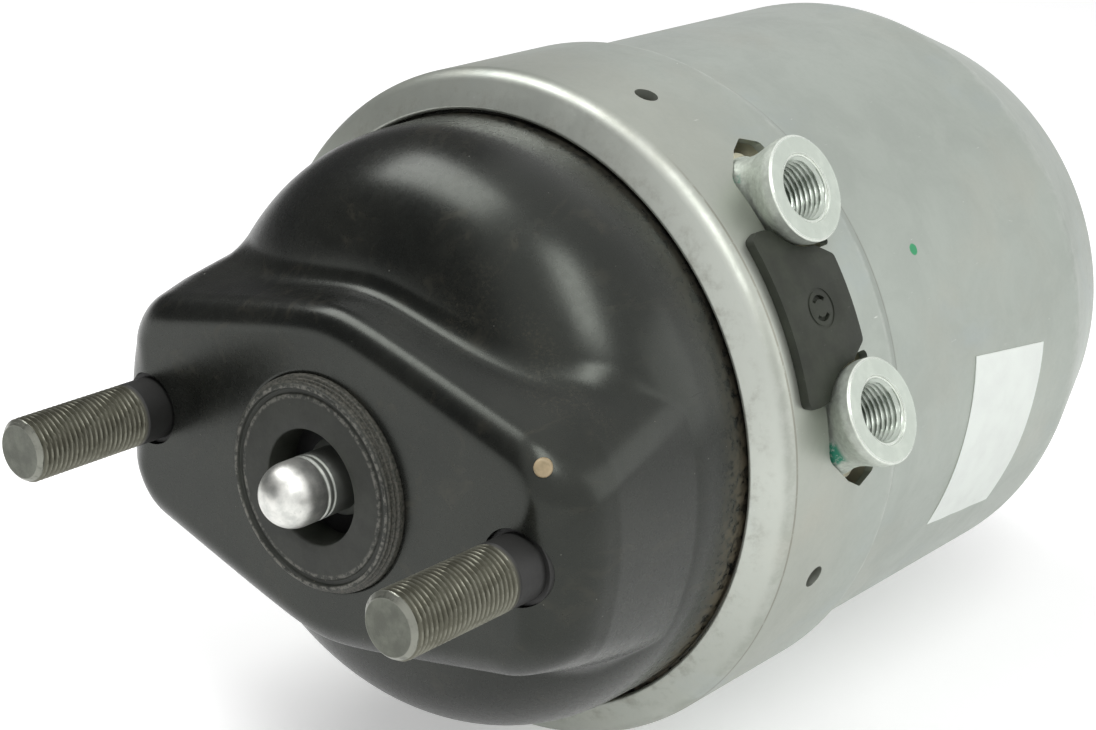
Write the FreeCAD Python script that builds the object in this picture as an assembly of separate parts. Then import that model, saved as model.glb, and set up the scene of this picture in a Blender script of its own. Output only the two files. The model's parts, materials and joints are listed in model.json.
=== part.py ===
import FreeCAD, Part
import math
import os

# Combined service and spring brake cylinder for a disc brake.
# Row frame: origin at the centre of the front mounting face, on the push rod axis.
# +Y runs to the rear of the cylinder, the two mounting studs lie on X, +Z is up.
# All lengths are in millimetres and all angles in degrees.

# Fits and gaps
running_gap = 0.06
seal_gap = 0.3
static_gap = 0.05

# Outer can with its rolled front lip
can_sheet = 2.3
can_radius = 85.5
band_radius = can_radius + 2.8
band_bend = 9.0
lip_radius = band_radius - 9.8
lip_depth = 62.4
lip_slope = 0.485
cone_start = 214.0
cone_slope = 0.367
can_end = 248.5
rear_bend = 5.0

# Front housing, a deep drawn pan
sheet = 3.0
rim_radius = lip_radius - 0.9
rim_depth = lip_depth - 0.4
dome_floor = 17.0
dome_rounding = 34.0
dome_draft = 0.02
ear_radius = rim_radius - 3.2
ear_end_rounding = 13.5
ear_bulge = 2.4
ear_bulge_depth = 17.0
ear_edge_rounding = 8.0
face_half_height = 0.58 * rim_radius
face_slope = 0.277
face_apex_rounding = 26.0
flank_rise = 0.06
flank_flattening = 0.0034
rod_hole_radius = 19.5

# Mounting studs, held this far inside the ends of the ears
stud_margin = 14.075
stud_spacing = 2 * (ear_radius - stud_margin)
stud_radius = 8.0
stud_tip_radius = 6.6
stud_length = 40.5
stud_hole_radius = 9.3
stud_head_radius = 11.5
stud_head_height = 6.0

# Face seal around the push rod
seal_bore_radius = 14.15
seal_outer_radius = rod_hole_radius + 7.4
seal_lip_radius = seal_outer_radius - 1.6
seal_height = 4.3
seal_recess = 1.2

# Drain plug in the shoulder of the right ear
plug_radius = 2.6
plug_place = FreeCAD.Vector(ear_radius - 10.1, 2.7, 24.8)
plug_direction = FreeCAD.Vector(0.56, -0.80, 0.22)
plug_depth = 5.5
plug_stand = 0.9

# Release bolt in the middle, the piston tube round its collar and the bush round the tube
bolt_radius = 8.0
bolt_clearance = 0.8
collar_wall = 4.75
tube_wall = 3.4
tube_radius = bolt_radius + bolt_clearance + collar_wall + static_gap + tube_wall
bush_wall = 3.39

# Flange body between the two chambers, clamped behind the pan and the diaphragm
clamp_stack = 13.1
flange_front = lip_depth + clamp_stack
flange_dish = flange_front + 3.8
waist_radius = band_radius - 12.3
waist_front = flange_front + 5.0
flange_dish_radius = waist_radius + 1.0
port_depth = waist_front + 12.5
waist_rear = port_depth + 11.5
groove_front = waist_rear + 2.4
groove_width = 3.8
groove_floor = band_radius - can_sheet - 3.3
step_start = groove_front + groove_width + 2.3
step_length = 6.0
flange_rear = step_start + step_length + 1.5
hub_bore_radius = tube_radius + running_gap + bush_wall + static_gap
hub_lip_radius = tube_radius + 0.8
pocket_inner_radius = hub_bore_radius + 7.5
pocket_outer_radius = waist_radius - 18.0
pocket_floor = flange_rear - 15.5
rib_count = 8
rib_width = 5.0
vent_radius = 3.0
vent_depth = port_depth - 7.0

# Air ports, both parallel to one direction in the cross section
port_angle = 30.3
port_outer_radius = 13.2
port_offset = port_outer_radius + 14.8
port_seat = band_radius - 15.3
port_face = band_radius + 5.2
port_waist = port_seat + 10.0
port_rim = 3.0
port_thread_radius = 8.0
port_thread_length = 14.0
port_bore_radius = 4.5
port_foot_width = 18.0
port_foot_height = 4.0
port_spigot_radius = 8.8
port_spigot_end = port_seat - 19.0
seal_groove_low = port_spigot_end + 6.0

# Plastic retaining plate between the ports
plate_thickness = 2.4
plate_front = port_depth - 20.1
plate_rear = port_depth + 6.3

# Push rod, its plate, spring and bellows, with the diaphragm behind the plate
rod_radius = 8.0
rod_tip_centre = -9.2
rod_shank_radius = 9.6
rod_shank_start = 6.0
push_plate_front = lip_depth + 10.6
push_plate_radius = 50.0
push_plate_thickness = 2.5
diaphragm_thickness = 3.0
return_wire = 4.0
return_front_radius = 29.0
return_rear_radius = 45.0
return_turns = 4
bellows_wall = 1.4
bellows_inner_radius = 12.5
bellows_outer_radius = 21.0
bellows_folds = 7

# Spring piston with its tube
piston_front = can_end - 69.5
piston_web = 7.0
piston_skirt = 20.0
piston_clearance = 0.7
piston_skirt_wall = 5.0
piston_seal_groove = 2.5
piston_seal_width = 5.5
guide_groove = 12.0
guide_width = 5.0
guide_depth = 2.2
tube_front = push_plate_front + push_plate_thickness + diaphragm_thickness + 1.1
tube_rear = piston_front + 14.0
cap_head = 3.0
cap_length = 7.5
cap_groove_start = 2.4
cap_groove_width = 3.2
cap_groove_depth = 2.4
bush_front = flange_dish + 8.7
bush_length = 22.0
rod_seal_length = 5.0
power_wire = 12.0
power_mean_radius = can_radius - 25.5
power_turns = 3.5
power_seat = piston_front + 10.0

# Pin and head of the release bolt, with its washer and nuts
pin_radius = bolt_radius - 1.6
bolt_front = piston_front - 61.0
shoulder = bolt_front + 10.0
bolt_head_flats = 24.0
bolt_head_height = 13.0
washer_radius = tube_radius - tube_wall - 0.7
washer_thickness = 4.0
bolt_nut_length = 5.9
bolt_nut_radius = washer_radius - 1.9
collar_length = 6.0
nut_radius = 17.0
nut_collar_radius = 20.0
nut_collar_height = 3.5
nut_depth = 9.0

# Paper label on the can
label_centre = 172.0
label_width = 36.4
label_height = 49.3
label_angle = -6.6
label_tilt = -7.5
label_thickness = 0.15

os.makedirs("parts", exist_ok=True)
origin = FreeCAD.Vector(0, 0, 0)
axis_y = FreeCAD.Vector(0, 1, 0)
port_direction = FreeCAD.Vector(math.cos(math.radians(port_angle)), 0, math.sin(math.radians(port_angle)))
port_tangent = FreeCAD.Vector(-port_direction.z, 0, port_direction.x)
lip_lean = math.cos(math.atan(lip_slope))
dome_lean = math.cos(math.atan(dome_draft))


# A closed wire through corners (u, v, rounding); place turns (u, v) into a point in space.
def rounded_wire(corners, place):
    count = len(corners)
    stretches = []
    for i in range(count):
        here = FreeCAD.Vector(corners[i][0], corners[i][1], 0)
        before = FreeCAD.Vector(corners[i - 1][0], corners[i - 1][1], 0)
        after = FreeCAD.Vector(corners[(i + 1) % count][0], corners[(i + 1) % count][1], 0)
        rounding = corners[i][2] if len(corners[i]) > 2 else 0
        if rounding <= 0:
            stretches.append([here])
            continue
        back = (before - here).normalize()
        ahead = (after - here).normalize()
        half = back.getAngle(ahead) / 2
        reach = rounding / math.tan(half)
        middle = here + (back + ahead).normalize() * (rounding / math.sin(half) - rounding)
        stretches.append([here + back * reach, middle, here + ahead * reach])
    edges = []
    for i in range(count):
        points = [place(p.x, p.y) for p in stretches[i]]
        if len(points) == 3:
            edges.append(Part.Arc(*points).toShape())
        following = stretches[(i + 1) % count][0]
        start = points[-1]
        end = place(following.x, following.y)
        if start.distanceToPoint(end) > 1e-5:
            edges.append(Part.LineSegment(start, end).toShape())
    return Part.Wire(edges)


# A turned piece: corners are (radius, y, rounding) round the Y axis.
def turned(corners):
    wire = rounded_wire(corners, lambda r, y: FreeCAD.Vector(r, y, 0))
    solid = Part.Face(wire).revolve(origin, axis_y, 360)
    if solid.Volume < 0:
        solid.reverse()
    return solid


def ring(inner, outer, start, end, rounding=0.0):
    return turned(
        [
            (inner, start, rounding),
            (outer, start, rounding),
            (outer, end, rounding),
            (inner, end, rounding),
        ]
    )


def rod(radius, start, end):
    return Part.makeCylinder(radius, end - start, FreeCAD.Vector(0, start, 0), axis_y)


# A point of the port frame: t along the tangent, y along the cylinder, h outwards.
def port_point(t, y, h):
    return port_tangent * t + axis_y * y + port_direction * h


def port_cylinder(radius, side, low, high):
    base = port_point(side * port_offset, port_depth, low)
    return Part.makeCylinder(radius, high - low, base, port_direction)


# A prism along the port direction from corners (t, y, rounding).
def port_prism(corners, low, high):
    wire = rounded_wire(corners, lambda t, y: port_point(t, y, low))
    return Part.Face(wire).extrude(port_direction * (high - low))


# A coil spring: its centre line is a smooth curve through points on a cone or cylinder.
def coil_spring(start_radius, end_radius, start, end, turns, wire_radius):
    steps = int(turns * 16)
    points = []
    for i in range(steps + 1):
        share = i / steps
        angle = 2 * math.pi * turns * share
        radius = start_radius + (end_radius - start_radius) * share
        y = start + (end - start) * share
        points.append(FreeCAD.Vector(radius * math.cos(angle), y, radius * math.sin(angle)))
    curve = Part.BSplineCurve()
    curve.interpolate(points)
    heading = curve.tangent(curve.FirstParameter)[0]
    section = Part.Wire(Part.makeCircle(wire_radius, points[0], heading))
    return Part.Wire(curve.toShape()).makePipeShell([section], True, True)


def save(name, shape):
    shape.exportStep("parts/" + name + ".step")
    print(name, len(shape.Solids), "solids", round(shape.Volume / 1000, 2), "cm3", shape.isValid())


# Outline of the lozenge block at depth y: four flanks that flatten and rise towards the rear.
def lozenge(y, inset):
    slope = face_slope - flank_flattening * y
    apex = face_half_height + flank_rise * y - inset / math.cos(math.atan(slope))
    reach = 1.25 * ear_radius
    end = apex - slope * reach
    rounding = face_apex_rounding - inset
    corners = [
        (reach, end),
        (0, apex, rounding),
        (-reach, end),
        (-reach, -end),
        (0, -apex, rounding),
        (reach, -end),
    ]
    return rounded_wire(corners, lambda x, z: FreeCAD.Vector(x, y, z))


def edges_where(shape, test):
    return [e for e in shape.Edges if test(e)]


# One skin of the pan, inset from the outside by a sheet thickness or by nothing.
# The dome wall crosses the ears at the rim and runs on to the given depth.
def pan_skin(inset, depth):
    rim = rim_radius - inset / dome_lean
    corner = rim - (rim_depth - dome_floor - inset) * dome_draft
    dome = turned(
        [
            (0, dome_floor + inset),
            (corner, dome_floor + inset, dome_rounding - inset),
            (rim + (depth - rim_depth) * dome_draft, depth),
            (0, depth),
        ]
    )
    bulge = ear_radius + ear_bulge - inset
    drum = turned(
        [
            (0, inset),
            (ear_radius - inset, inset, ear_end_rounding - inset),
            (bulge, ear_bulge_depth),
            (bulge, rim_depth),
            (0, rim_depth),
        ]
    )
    ears = Part.makeLoft([lozenge(inset, inset), lozenge(rim_depth, inset)], True, True).common(drum)
    face_edges = edges_where(ears, lambda e: e.BoundBox.YMax < inset + 0.1 and not on_drum(e))
    ears = ears.makeFillet(ear_edge_rounding - inset, face_edges)
    return ears.fuse(dome).removeSplitter()


# The end arcs of the face run smoothly into the drum and get no rounding of their own.
def on_drum(edge):
    return abs(edge.CenterOfMass.x) > ear_radius - 1.3 * ear_end_rounding


def front_housing():
    root = rim_radius - 2 * sheet
    edge = band_radius - can_sheet - 2.8
    flange = turned(
        [
            (root, flange_line(root)),
            (edge, flange_line(edge), 1.0),
            (edge, flange_back(edge)),
            (root, flange_back(root)),
        ]
    )
    shell = pan_skin(0, rim_depth + 3.5).fuse(flange)
    shell = shell.cut(pan_skin(sheet, rim_depth + 20))
    rod_hole = rod(rod_hole_radius, -1, 2 * sheet)
    recess = rod(seal_outer_radius + static_gap, -1, seal_recess)
    shell = shell.cut(rod_hole).cut(recess)
    for side in (-1, 1):
        place = FreeCAD.Vector(side * stud_spacing / 2, -1, 0)
        shell = shell.cut(Part.makeCylinder(stud_hole_radius, 2 * sheet, place, axis_y))
    return shell.cut(plug_cylinder(plug_radius + static_gap, 8)).removeSplitter()


# Front face of the pan flange, just behind the rolled lip of the can.
def flange_line(r):
    return lip_depth + lip_slope * (r - lip_radius) + can_sheet / lip_lean + static_gap


def plug_cylinder(radius, outside):
    start = plug_place - plug_direction * plug_depth
    return Part.makeCylinder(radius, plug_depth + outside, start, plug_direction)


# Back face of the pan flange, on which the bead of the diaphragm lies.
def flange_back(r):
    return flange_line(r) + sheet / lip_lean


def lip_line(r):
    return lip_depth + lip_slope * (r - lip_radius)


# One surface of the can, inset from the outside by the sheet thickness or by nothing.
def can_skin(inset):
    lean = math.sqrt(1 + cone_slope**2)
    end = can_end - inset
    band = band_radius - inset
    barrel = can_radius - inset
    shift = inset / lip_lean
    cone_bend = cone_start - inset * (lean - 1) / cone_slope
    cone_end = can_radius - cone_slope * (end - cone_start) - inset * lean
    return turned(
        [
            (0, lip_line(0) + shift),
            (band, lip_line(band) + shift, band_bend - inset),
            (band, step_start, 3.0),
            (barrel, step_start + step_length, 3.0),
            (barrel, cone_bend, 12.0),
            (cone_end, end, rear_bend - inset / 2),
            (0, end),
        ]
    )


# Window for one port: straight inner end, pointed outer end.
def window(side):
    near = side * (port_offset - 14.5)
    corners = [
        (near, port_depth - 10.5, 1.5),
        (side * (port_offset + 7.5), port_depth - 10.0, 4.0),
        (side * (port_offset + 14.4), port_depth - 1.0, 4.0),
        (side * (port_offset + 17.0), port_depth + 4.5, 1.2),
        (side * (port_offset + 14.6), port_depth + 10.0, 1.2),
        (near, port_depth + 10.0, 1.5),
    ]
    return port_prism(corners, port_seat - 5, port_face)


def outer_can():
    shell = can_skin(0).cut(can_skin(can_sheet))
    shell = shell.cut(rod(lip_radius, 0, lip_depth + 20))

    def on_lip(edge):
        return edge.BoundBox.ZMax < lip_radius + 0.1 and edge.BoundBox.YMax < flange_front

    shell = shell.makeFillet(0.9, edges_where(shell, on_lip))
    shell = shell.cut(rod(nut_radius + static_gap, can_end - 10, can_end + 10))
    for side in (-1, 1):
        shell = shell.cut(window(side))
    for turn in (45, 135, 225, 315):
        start = FreeCAD.Vector(band_radius - 10, vent_depth, 0)
        hole = Part.makeCylinder(vent_radius, 20, start, FreeCAD.Vector(1, 0, 0))
        hole.rotate(origin, axis_y, -port_angle - turn)
        shell = shell.cut(hole)
    return shell


def mounting_studs():
    skin = pan_skin(sheet + static_gap, rim_depth)
    studs = []
    for side in (-1, 1):
        shank = turned(
            [
                (0, -stud_length),
                (stud_tip_radius, -stud_length),
                (stud_radius, -stud_length + 1.6),
                (stud_radius, 1.4),
                (stud_hole_radius - static_gap, 1.4),
                (stud_hole_radius - static_gap, sheet - static_gap),
                (stud_radius - 0.5, sheet - static_gap),
                (stud_radius - 0.5, sheet + 2.0),
                (0, sheet + 2.0),
            ]
        )
        head = rod(stud_head_radius, 0, sheet + stud_head_height)
        offset = FreeCAD.Vector(side * stud_spacing / 2, 0, 0)
        shank.translate(offset)
        head.translate(offset)
        studs.append(shank.fuse(head.common(skin)))
    return Part.Compound(studs)


def seal_ring():
    lip = seal_lip_radius
    base = seal_outer_radius
    front = -seal_height
    return turned(
        [
            (seal_bore_radius, sheet + 3.0),
            (seal_bore_radius, front + 1.0, 0.4),
            (22.6, front + 1.0, 0.4),
            (22.9, front + 2.4, 0.4),
            (24.2, front + 2.4, 0.4),
            (24.4, front, 0.3),
            (lip, front, 0.3),
            (lip + 0.1, front + 0.9),
            (lip + 0.6, front + 1.1),
            (lip + 0.6, front + 1.5),
            (lip + 0.25, front + 1.7),
            (lip + 0.3, front + 2.0),
            (lip + 1.0, front + 2.2),
            (lip + 1.0, front + 2.6),
            (lip + 0.6, front + 2.8),
            (base, front + 3.0),
            (base, seal_recess - static_gap),
            (rod_hole_radius - static_gap, seal_recess - static_gap),
            (rod_hole_radius - static_gap, sheet + static_gap),
            (rod_hole_radius + 2, sheet + static_gap, 0.5),
            (rod_hole_radius + 2, sheet + 3.0, 0.5),
        ]
    )


def drain_plug():
    plug = plug_cylinder(plug_radius, plug_stand)
    tip = plug_place + plug_direction * plug_stand
    return plug.makeFillet(0.8, edges_where(plug, lambda e: e.CenterOfMass.distanceToPoint(tip) < 0.2))


def push_rod():
    centre = rod_tip_centre
    tip = FreeCAD.Vector(0, centre - rod_radius, 0)
    slant = rod_radius * math.sqrt(0.5)
    middle = FreeCAD.Vector(slant, centre - slant, 0)
    points = [
        (rod_radius, centre),
        (rod_radius, centre + 1.6),
        (rod_radius - 0.5, centre + 2.0),
        (rod_radius - 0.5, centre + 3.0),
        (rod_radius, centre + 3.4),
        (rod_radius, rod_shank_start - 1),
        (rod_shank_radius, rod_shank_start),
        (rod_shank_radius, push_plate_front - 6.0),
        (14.0, push_plate_front - 1.5),
        (14.0, push_plate_front - static_gap),
        (5.0, push_plate_front - static_gap),
        (5.0, push_plate_front + push_plate_thickness - 0.5),
        (0, push_plate_front + push_plate_thickness - 0.5),
    ]
    vectors = [FreeCAD.Vector(r, y, 0) for r, y in points]
    edges = [Part.Arc(tip, middle, vectors[0]).toShape()]
    for start, end in zip(vectors, vectors[1:] + [tip]):
        edges.append(Part.LineSegment(start, end).toShape())
    return Part.Face(Part.Wire(edges)).revolve(origin, axis_y, 360)


def push_plate():
    rear = push_plate_front + push_plate_thickness
    return turned(
        [
            (5.0 + static_gap, push_plate_front),
            (push_plate_radius, push_plate_front, 0.8),
            (push_plate_radius, rear, 1.6),
            (5.0 + static_gap, rear),
        ]
    )


def rod_bellows():
    front = sheet + static_gap
    folds_start = sheet + 7.0
    folds_end = push_plate_front - 10.0
    pitch = (folds_end - folds_start) / bellows_folds
    outside = []
    inside = []
    for i in range(bellows_folds):
        y = folds_start + i * pitch
        outside.append((bellows_outer_radius, y + pitch * 0.25, 0.9))
        outside.append((bellows_inner_radius + bellows_wall, y + pitch * 0.75, 0.9))
        inside.append((bellows_outer_radius - bellows_wall * 1.6, y + pitch * 0.25, 0.4))
        inside.append((bellows_inner_radius, y + pitch * 0.75, 0.4))
    collar = rod_hole_radius + 2 + static_gap
    neck = rod_shank_radius + 0.3
    outside = [(collar + 1.6, front), (collar + 1.6, sheet + 5.0, 1.0)] + outside
    outside += [(neck + 2.0, folds_end + 1.0, 0.8), (neck + 2.0, push_plate_front - 5.8)]
    inside = [(collar, front), (collar, sheet + 4.0, 0.5)] + inside
    inside += [(neck, folds_end + 1.4, 0.4), (neck, push_plate_front - 5.8)]
    return turned(outside + inside[::-1])


def return_spring():
    reach = return_wire / 2 + static_gap
    return coil_spring(
        return_front_radius,
        return_rear_radius,
        sheet + reach,
        push_plate_front - reach,
        return_turns,
        return_wire / 2,
    )


def diaphragm():
    front = push_plate_front + push_plate_thickness + static_gap
    rear = front + diaphragm_thickness
    edge = band_radius - can_sheet - 0.5
    dish = flange_dish_radius - 0.1
    return turned(
        [
            (0, front),
            (dish - 2.4, front, 1.5),
            (dish - 0.7, flange_back(dish - 0.7) + static_gap, 0.8),
            (edge, flange_back(edge) + static_gap),
            (edge, flange_front - static_gap),
            (dish, flange_front - static_gap),
            (dish, rear),
            (0, rear),
        ]
    )


def port_outline(inner, outer, low, high, rounding):
    return [
        (inner, low, rounding),
        (outer, low, rounding),
        (outer, high, rounding),
        (inner, high, rounding),
    ]


def flange_body():
    band = band_radius - can_sheet - 0.2
    barrel = can_radius - can_sheet - 0.25
    body = turned(
        [
            (hub_lip_radius, flange_dish),
            (flange_dish_radius, flange_dish, 0.5),
            (flange_dish_radius, flange_front, 0.5),
            (band, flange_front),
            (band, waist_front),
            (waist_radius, waist_front + 1.0, 2.0),
            (waist_radius, waist_rear - 1.0, 2.0),
            (band, waist_rear),
            (band, groove_front),
            (groove_floor, groove_front),
            (groove_floor, groove_front + groove_width),
            (band, groove_front + groove_width),
            (band, step_start - 0.8),
            (barrel, step_start + step_length - 1.0),
            (barrel, flange_rear),
            (pocket_outer_radius, flange_rear),
            (pocket_outer_radius, pocket_floor),
            (46.0, pocket_floor, 3.0),
            (44.0, pocket_floor - 15.0, 3.0),
            (pocket_inner_radius, pocket_floor - 15.0, 3.0),
            (pocket_inner_radius, flange_rear),
            (hub_bore_radius, flange_rear),
            (hub_bore_radius, flange_dish + 1.7),
            (hub_lip_radius, flange_dish + 1.7),
        ]
    )
    length = pocket_outer_radius - pocket_inner_radius + 2
    for i in range(rib_count):
        corner = FreeCAD.Vector(pocket_inner_radius - 1, pocket_floor - 16, -rib_width / 2)
        rib = Part.makeBox(length, flange_rear - pocket_floor + 13, rib_width, corner)
        rib.rotate(origin, axis_y, port_angle + (i + 0.5) * 360 / rib_count)
        body = body.fuse(rib)
    for side in (-1, 1):
        inner = side * (port_offset - 13.8)
        outer = side * (port_offset + 14.0)
        pad = port_outline(inner, outer, port_depth - 10.5, port_depth + 10.5, 6.0)
        body = body.fuse(port_prism(pad, port_seat - 14, port_seat))
        body = body.cut(port_prism(pad, port_seat, port_face))
        body = body.cut(port_cylinder(port_spigot_radius + static_gap, side, port_spigot_end - 2, port_face))
        start = port_point(side * port_offset, port_depth, port_spigot_end + 3)
        body = body.cut(Part.makeCylinder(4.0, 40, start, axis_y * -side))
    return body.removeSplitter()


def port(side):
    spigot = port_cylinder(port_spigot_radius, side, port_spigot_end, port_seat + 1)
    groove = port_cylinder(port_spigot_radius + 1, side, seal_groove_low, seal_groove_low + 3.6)
    groove = groove.cut(port_cylinder(port_spigot_radius - 2.8, side, seal_groove_low - 1, seal_groove_low + 5))
    half = port_foot_width / 2
    foot = port_outline(
        side * (port_offset - 12.7),
        side * (port_offset + 12.4),
        port_depth - half,
        port_depth + half,
        half - 0.6,
    )
    low = port_seat + static_gap
    base = port_prism(foot, low, port_seat + port_foot_height)
    neck = port_outline(
        side * (port_offset - 11.5),
        side * (port_offset + 11.5),
        port_depth - half + 0.2,
        port_depth + half - 0.2,
        half - 1.2,
    )
    radius = port_outer_radius
    top = port_outline(
        side * (port_offset - radius),
        side * (port_offset + radius),
        port_depth - radius,
        port_depth + radius,
        radius - 0.3,
    )
    levels = [
        (foot, port_seat + port_foot_height),
        (neck, port_waist),
        (top, port_face - port_rim),
    ]
    sections = []
    for corners, h in levels:
        sections.append(rounded_wire(corners, lambda t, y, h=h: port_point(t, y, h)))
    body = Part.makeLoft(sections[:2], True, True)
    flare = Part.makeLoft(sections[1:], True, True)
    rim = port_cylinder(radius, side, port_face - port_rim, port_face)
    rim = rim.makeChamfer(0.5, edges_where(rim, lambda e: e.CenterOfMass.dot(port_direction) > port_face - 0.1))
    shape = spigot.fuse([base, body, flare, rim]).cut(groove)
    shape = shape.cut(port_cylinder(port_thread_radius, side, port_face - port_thread_length, port_face + 1))
    mouth = Part.makeCone(
        port_thread_radius,
        port_thread_radius + 1.2,
        1.2,
        port_point(side * port_offset, port_depth, port_face - 1.2),
        port_direction,
    )
    shape = shape.cut(mouth)
    shape = shape.cut(port_cylinder(port_bore_radius, side, port_spigot_end - 1, port_face))
    return shape.removeSplitter()


def o_ring(radius, section, centre, direction):
    return Part.makeTorus(radius, section, centre, direction)


def port_seals():
    rings = []
    for side in (-1, 1):
        centre = port_point(side * port_offset, port_depth, seal_groove_low + 1.8)
        rings.append(o_ring(port_spigot_radius - 1.4, 1.3, centre, port_direction))
    return Part.Compound(rings)


def port_retainer():
    inner = band_radius + static_gap
    shell = rod(inner + plate_thickness, plate_front - 1, plate_rear + 1)
    shell = shell.cut(rod(inner, plate_front - 2, plate_rear + 2))
    wide = port_offset - 6.0
    slim = port_offset - 17.0
    corners = [
        (1.4 - wide, plate_front, 2.0),
        (wide - 1.4, plate_front, 2.0),
        (wide, plate_front + 4.1, 3.0),
        (wide - 0.6, plate_front + 10.1, 2.0),
        (slim + 1.6, plate_rear - 2.5, 3.0),
        (slim, plate_rear, 1.5),
        (-slim, plate_rear, 1.5),
        (-slim - 1.6, plate_rear - 2.5, 3.0),
        (0.6 - wide, plate_front + 10.1, 2.0),
        (-wide, plate_front + 4.1, 3.0),
    ]
    plate = shell.common(port_prism(corners, port_seat, port_face + 5))
    for side in (-1, 1):
        plate = plate.cut(port_cylinder(port_outer_radius + 0.2, side, port_seat, port_face + 5))
        near = side * (port_offset - 14.4)
        far = side * (port_offset - 12.9)
        leg = port_outline(near, far, port_depth - 5.5, port_depth - 2.5, 0)
        plate = plate.fuse(port_prism(leg, port_seat + 8, band_radius))
    return plate.removeSplitter()


def spring_piston():
    outer = can_radius - can_sheet - piston_clearance
    front = piston_front
    rear = front + piston_skirt
    return turned(
        [
            (tube_radius + static_gap, front, 0),
            (outer, front, 1.5),
            (outer, front + piston_seal_groove),
            (outer - 4.0, front + piston_seal_groove),
            (outer - 4.0, front + piston_seal_groove + piston_seal_width),
            (outer, front + piston_seal_groove + piston_seal_width),
            (outer, front + guide_groove),
            (outer - guide_depth, front + guide_groove),
            (outer - guide_depth, front + guide_groove + guide_width),
            (outer, front + guide_groove + guide_width),
            (outer, rear, 0.8),
            (outer - piston_skirt_wall, rear, 0.8),
            (outer - piston_skirt_wall, power_seat, 3.0),
            (power_mean_radius - power_wire, power_seat, 1.0),
            (power_mean_radius - power_wire - 2.0, front + piston_web, 3.0),
            (tube_radius + 7.0, front + piston_web, 3.0),
            (tube_radius + 5.0, tube_rear, 1.0),
            (tube_radius + static_gap, tube_rear),
        ]
    )


def piston_seal():
    outer = can_radius - can_sheet - piston_clearance
    lip = can_radius - can_sheet - seal_gap
    front = piston_front + piston_seal_groove + static_gap
    return turned(
        [
            (outer - 3.95, front),
            (outer - 2.0, front, 0.3),
            (outer - 1.6, front + 2.4, 0.4),
            (lip - 0.5, front + 0.2, 0.2),
            (lip, front + 0.6, 0.2),
            (outer - 0.4, front + piston_seal_width - 0.2, 0.3),
            (outer - 3.95, front + piston_seal_width - 0.2, 0.3),
        ]
    )


def piston_guide_ring():
    outer = can_radius - can_sheet - piston_clearance
    lip = can_radius - can_sheet - seal_gap
    front = piston_front + guide_groove + static_gap
    return ring(outer - guide_depth + static_gap, lip, front, front + guide_width - 2 * static_gap, 0.3)


def piston_tube():
    return ring(tube_radius - tube_wall, tube_radius, tube_front + cap_head + static_gap, tube_rear, 0.3)


def tube_end_cap():
    inner = tube_radius - tube_wall - static_gap
    head_rear = tube_front + cap_head
    return turned(
        [
            (0, tube_front),
            (tube_radius, tube_front, 1.0),
            (tube_radius, head_rear),
            (inner, head_rear),
            (inner, head_rear + cap_groove_start),
            (inner - cap_groove_depth, head_rear + cap_groove_start),
            (inner - cap_groove_depth, head_rear + cap_groove_start + cap_groove_width),
            (inner, head_rear + cap_groove_start + cap_groove_width),
            (inner, head_rear + cap_length, 0.5),
            (0, head_rear + cap_length),
        ]
    )


def tube_seal():
    centre = FreeCAD.Vector(0, tube_front + cap_head + cap_groove_start + cap_groove_width / 2, 0)
    section = cap_groove_depth / 2 - static_gap
    return o_ring(tube_radius - tube_wall - cap_groove_depth / 2, section, centre, axis_y)


def tube_collar():
    outer = tube_radius - tube_wall - static_gap
    return ring(bolt_radius + bolt_clearance, outer, tube_rear - collar_length, tube_rear, 0.5)


def guide_bush():
    return ring(tube_radius + running_gap, hub_bore_radius - static_gap, bush_front, bush_front + bush_length, 0.3)


def rod_seals():
    rings = []
    inner = tube_radius + seal_gap
    outer = hub_bore_radius - static_gap
    for start in (bush_front - rod_seal_length - 0.1, bush_front + bush_length + 0.1):
        rings.append(ring(inner, outer, start, start + rod_seal_length, 0.5))
    return Part.Compound(rings)


def flange_o_ring():
    centre = FreeCAD.Vector(0, groove_front + groove_width / 2, 0)
    return o_ring(groove_floor + 1.7, 1.6, centre, axis_y)


def power_spring():
    reach = power_wire / 2 + static_gap
    return coil_spring(
        power_mean_radius,
        power_mean_radius,
        power_seat + reach,
        can_end - can_sheet - reach,
        power_turns,
        power_wire / 2,
    )


def release_nut():
    seat = can_end + static_gap
    return turned(
        [
            (bolt_radius + running_gap, can_end - nut_depth, 0.8),
            (nut_radius, can_end - nut_depth, 0.8),
            (nut_radius, seat),
            (nut_collar_radius, seat),
            (nut_collar_radius, can_end + nut_collar_height, 1.0),
            (bolt_radius + running_gap, can_end + nut_collar_height, 0.8),
        ]
    )


def release_bolt():
    head = can_end + nut_collar_height + 0.5
    shank = turned(
        [
            (0, bolt_front),
            (pin_radius, bolt_front),
            (pin_radius, shoulder + 0.1),
            (bolt_radius, shoulder + 0.1),
            (bolt_radius, head + 1),
            (0, head + 1),
        ]
    )
    across_corners = bolt_head_flats / math.sqrt(3)
    points = []
    for i in range(7):
        angle = math.radians(60 * i)
        points.append(FreeCAD.Vector(across_corners * math.cos(angle), head, across_corners * math.sin(angle)))
    hexagon = Part.Face(Part.makePolygon(points)).extrude(axis_y * bolt_head_height)
    dome = turned(
        [
            (0, head),
            (across_corners - 1.6, head),
            (across_corners + 0.2, head + 1.0),
            (across_corners + 0.2, head + bolt_head_height - 1.0),
            (across_corners - 1.6, head + bolt_head_height),
            (0, head + bolt_head_height),
        ]
    )
    return shank.fuse(hexagon.common(dome)).removeSplitter()


def bolt_end_nut():
    return ring(pin_radius + static_gap, bolt_nut_radius, bolt_front, bolt_front + bolt_nut_length, 0.6)


def thrust_washer():
    return ring(pin_radius + 0.1, washer_radius, shoulder - washer_thickness, shoulder, 0.3)


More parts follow.
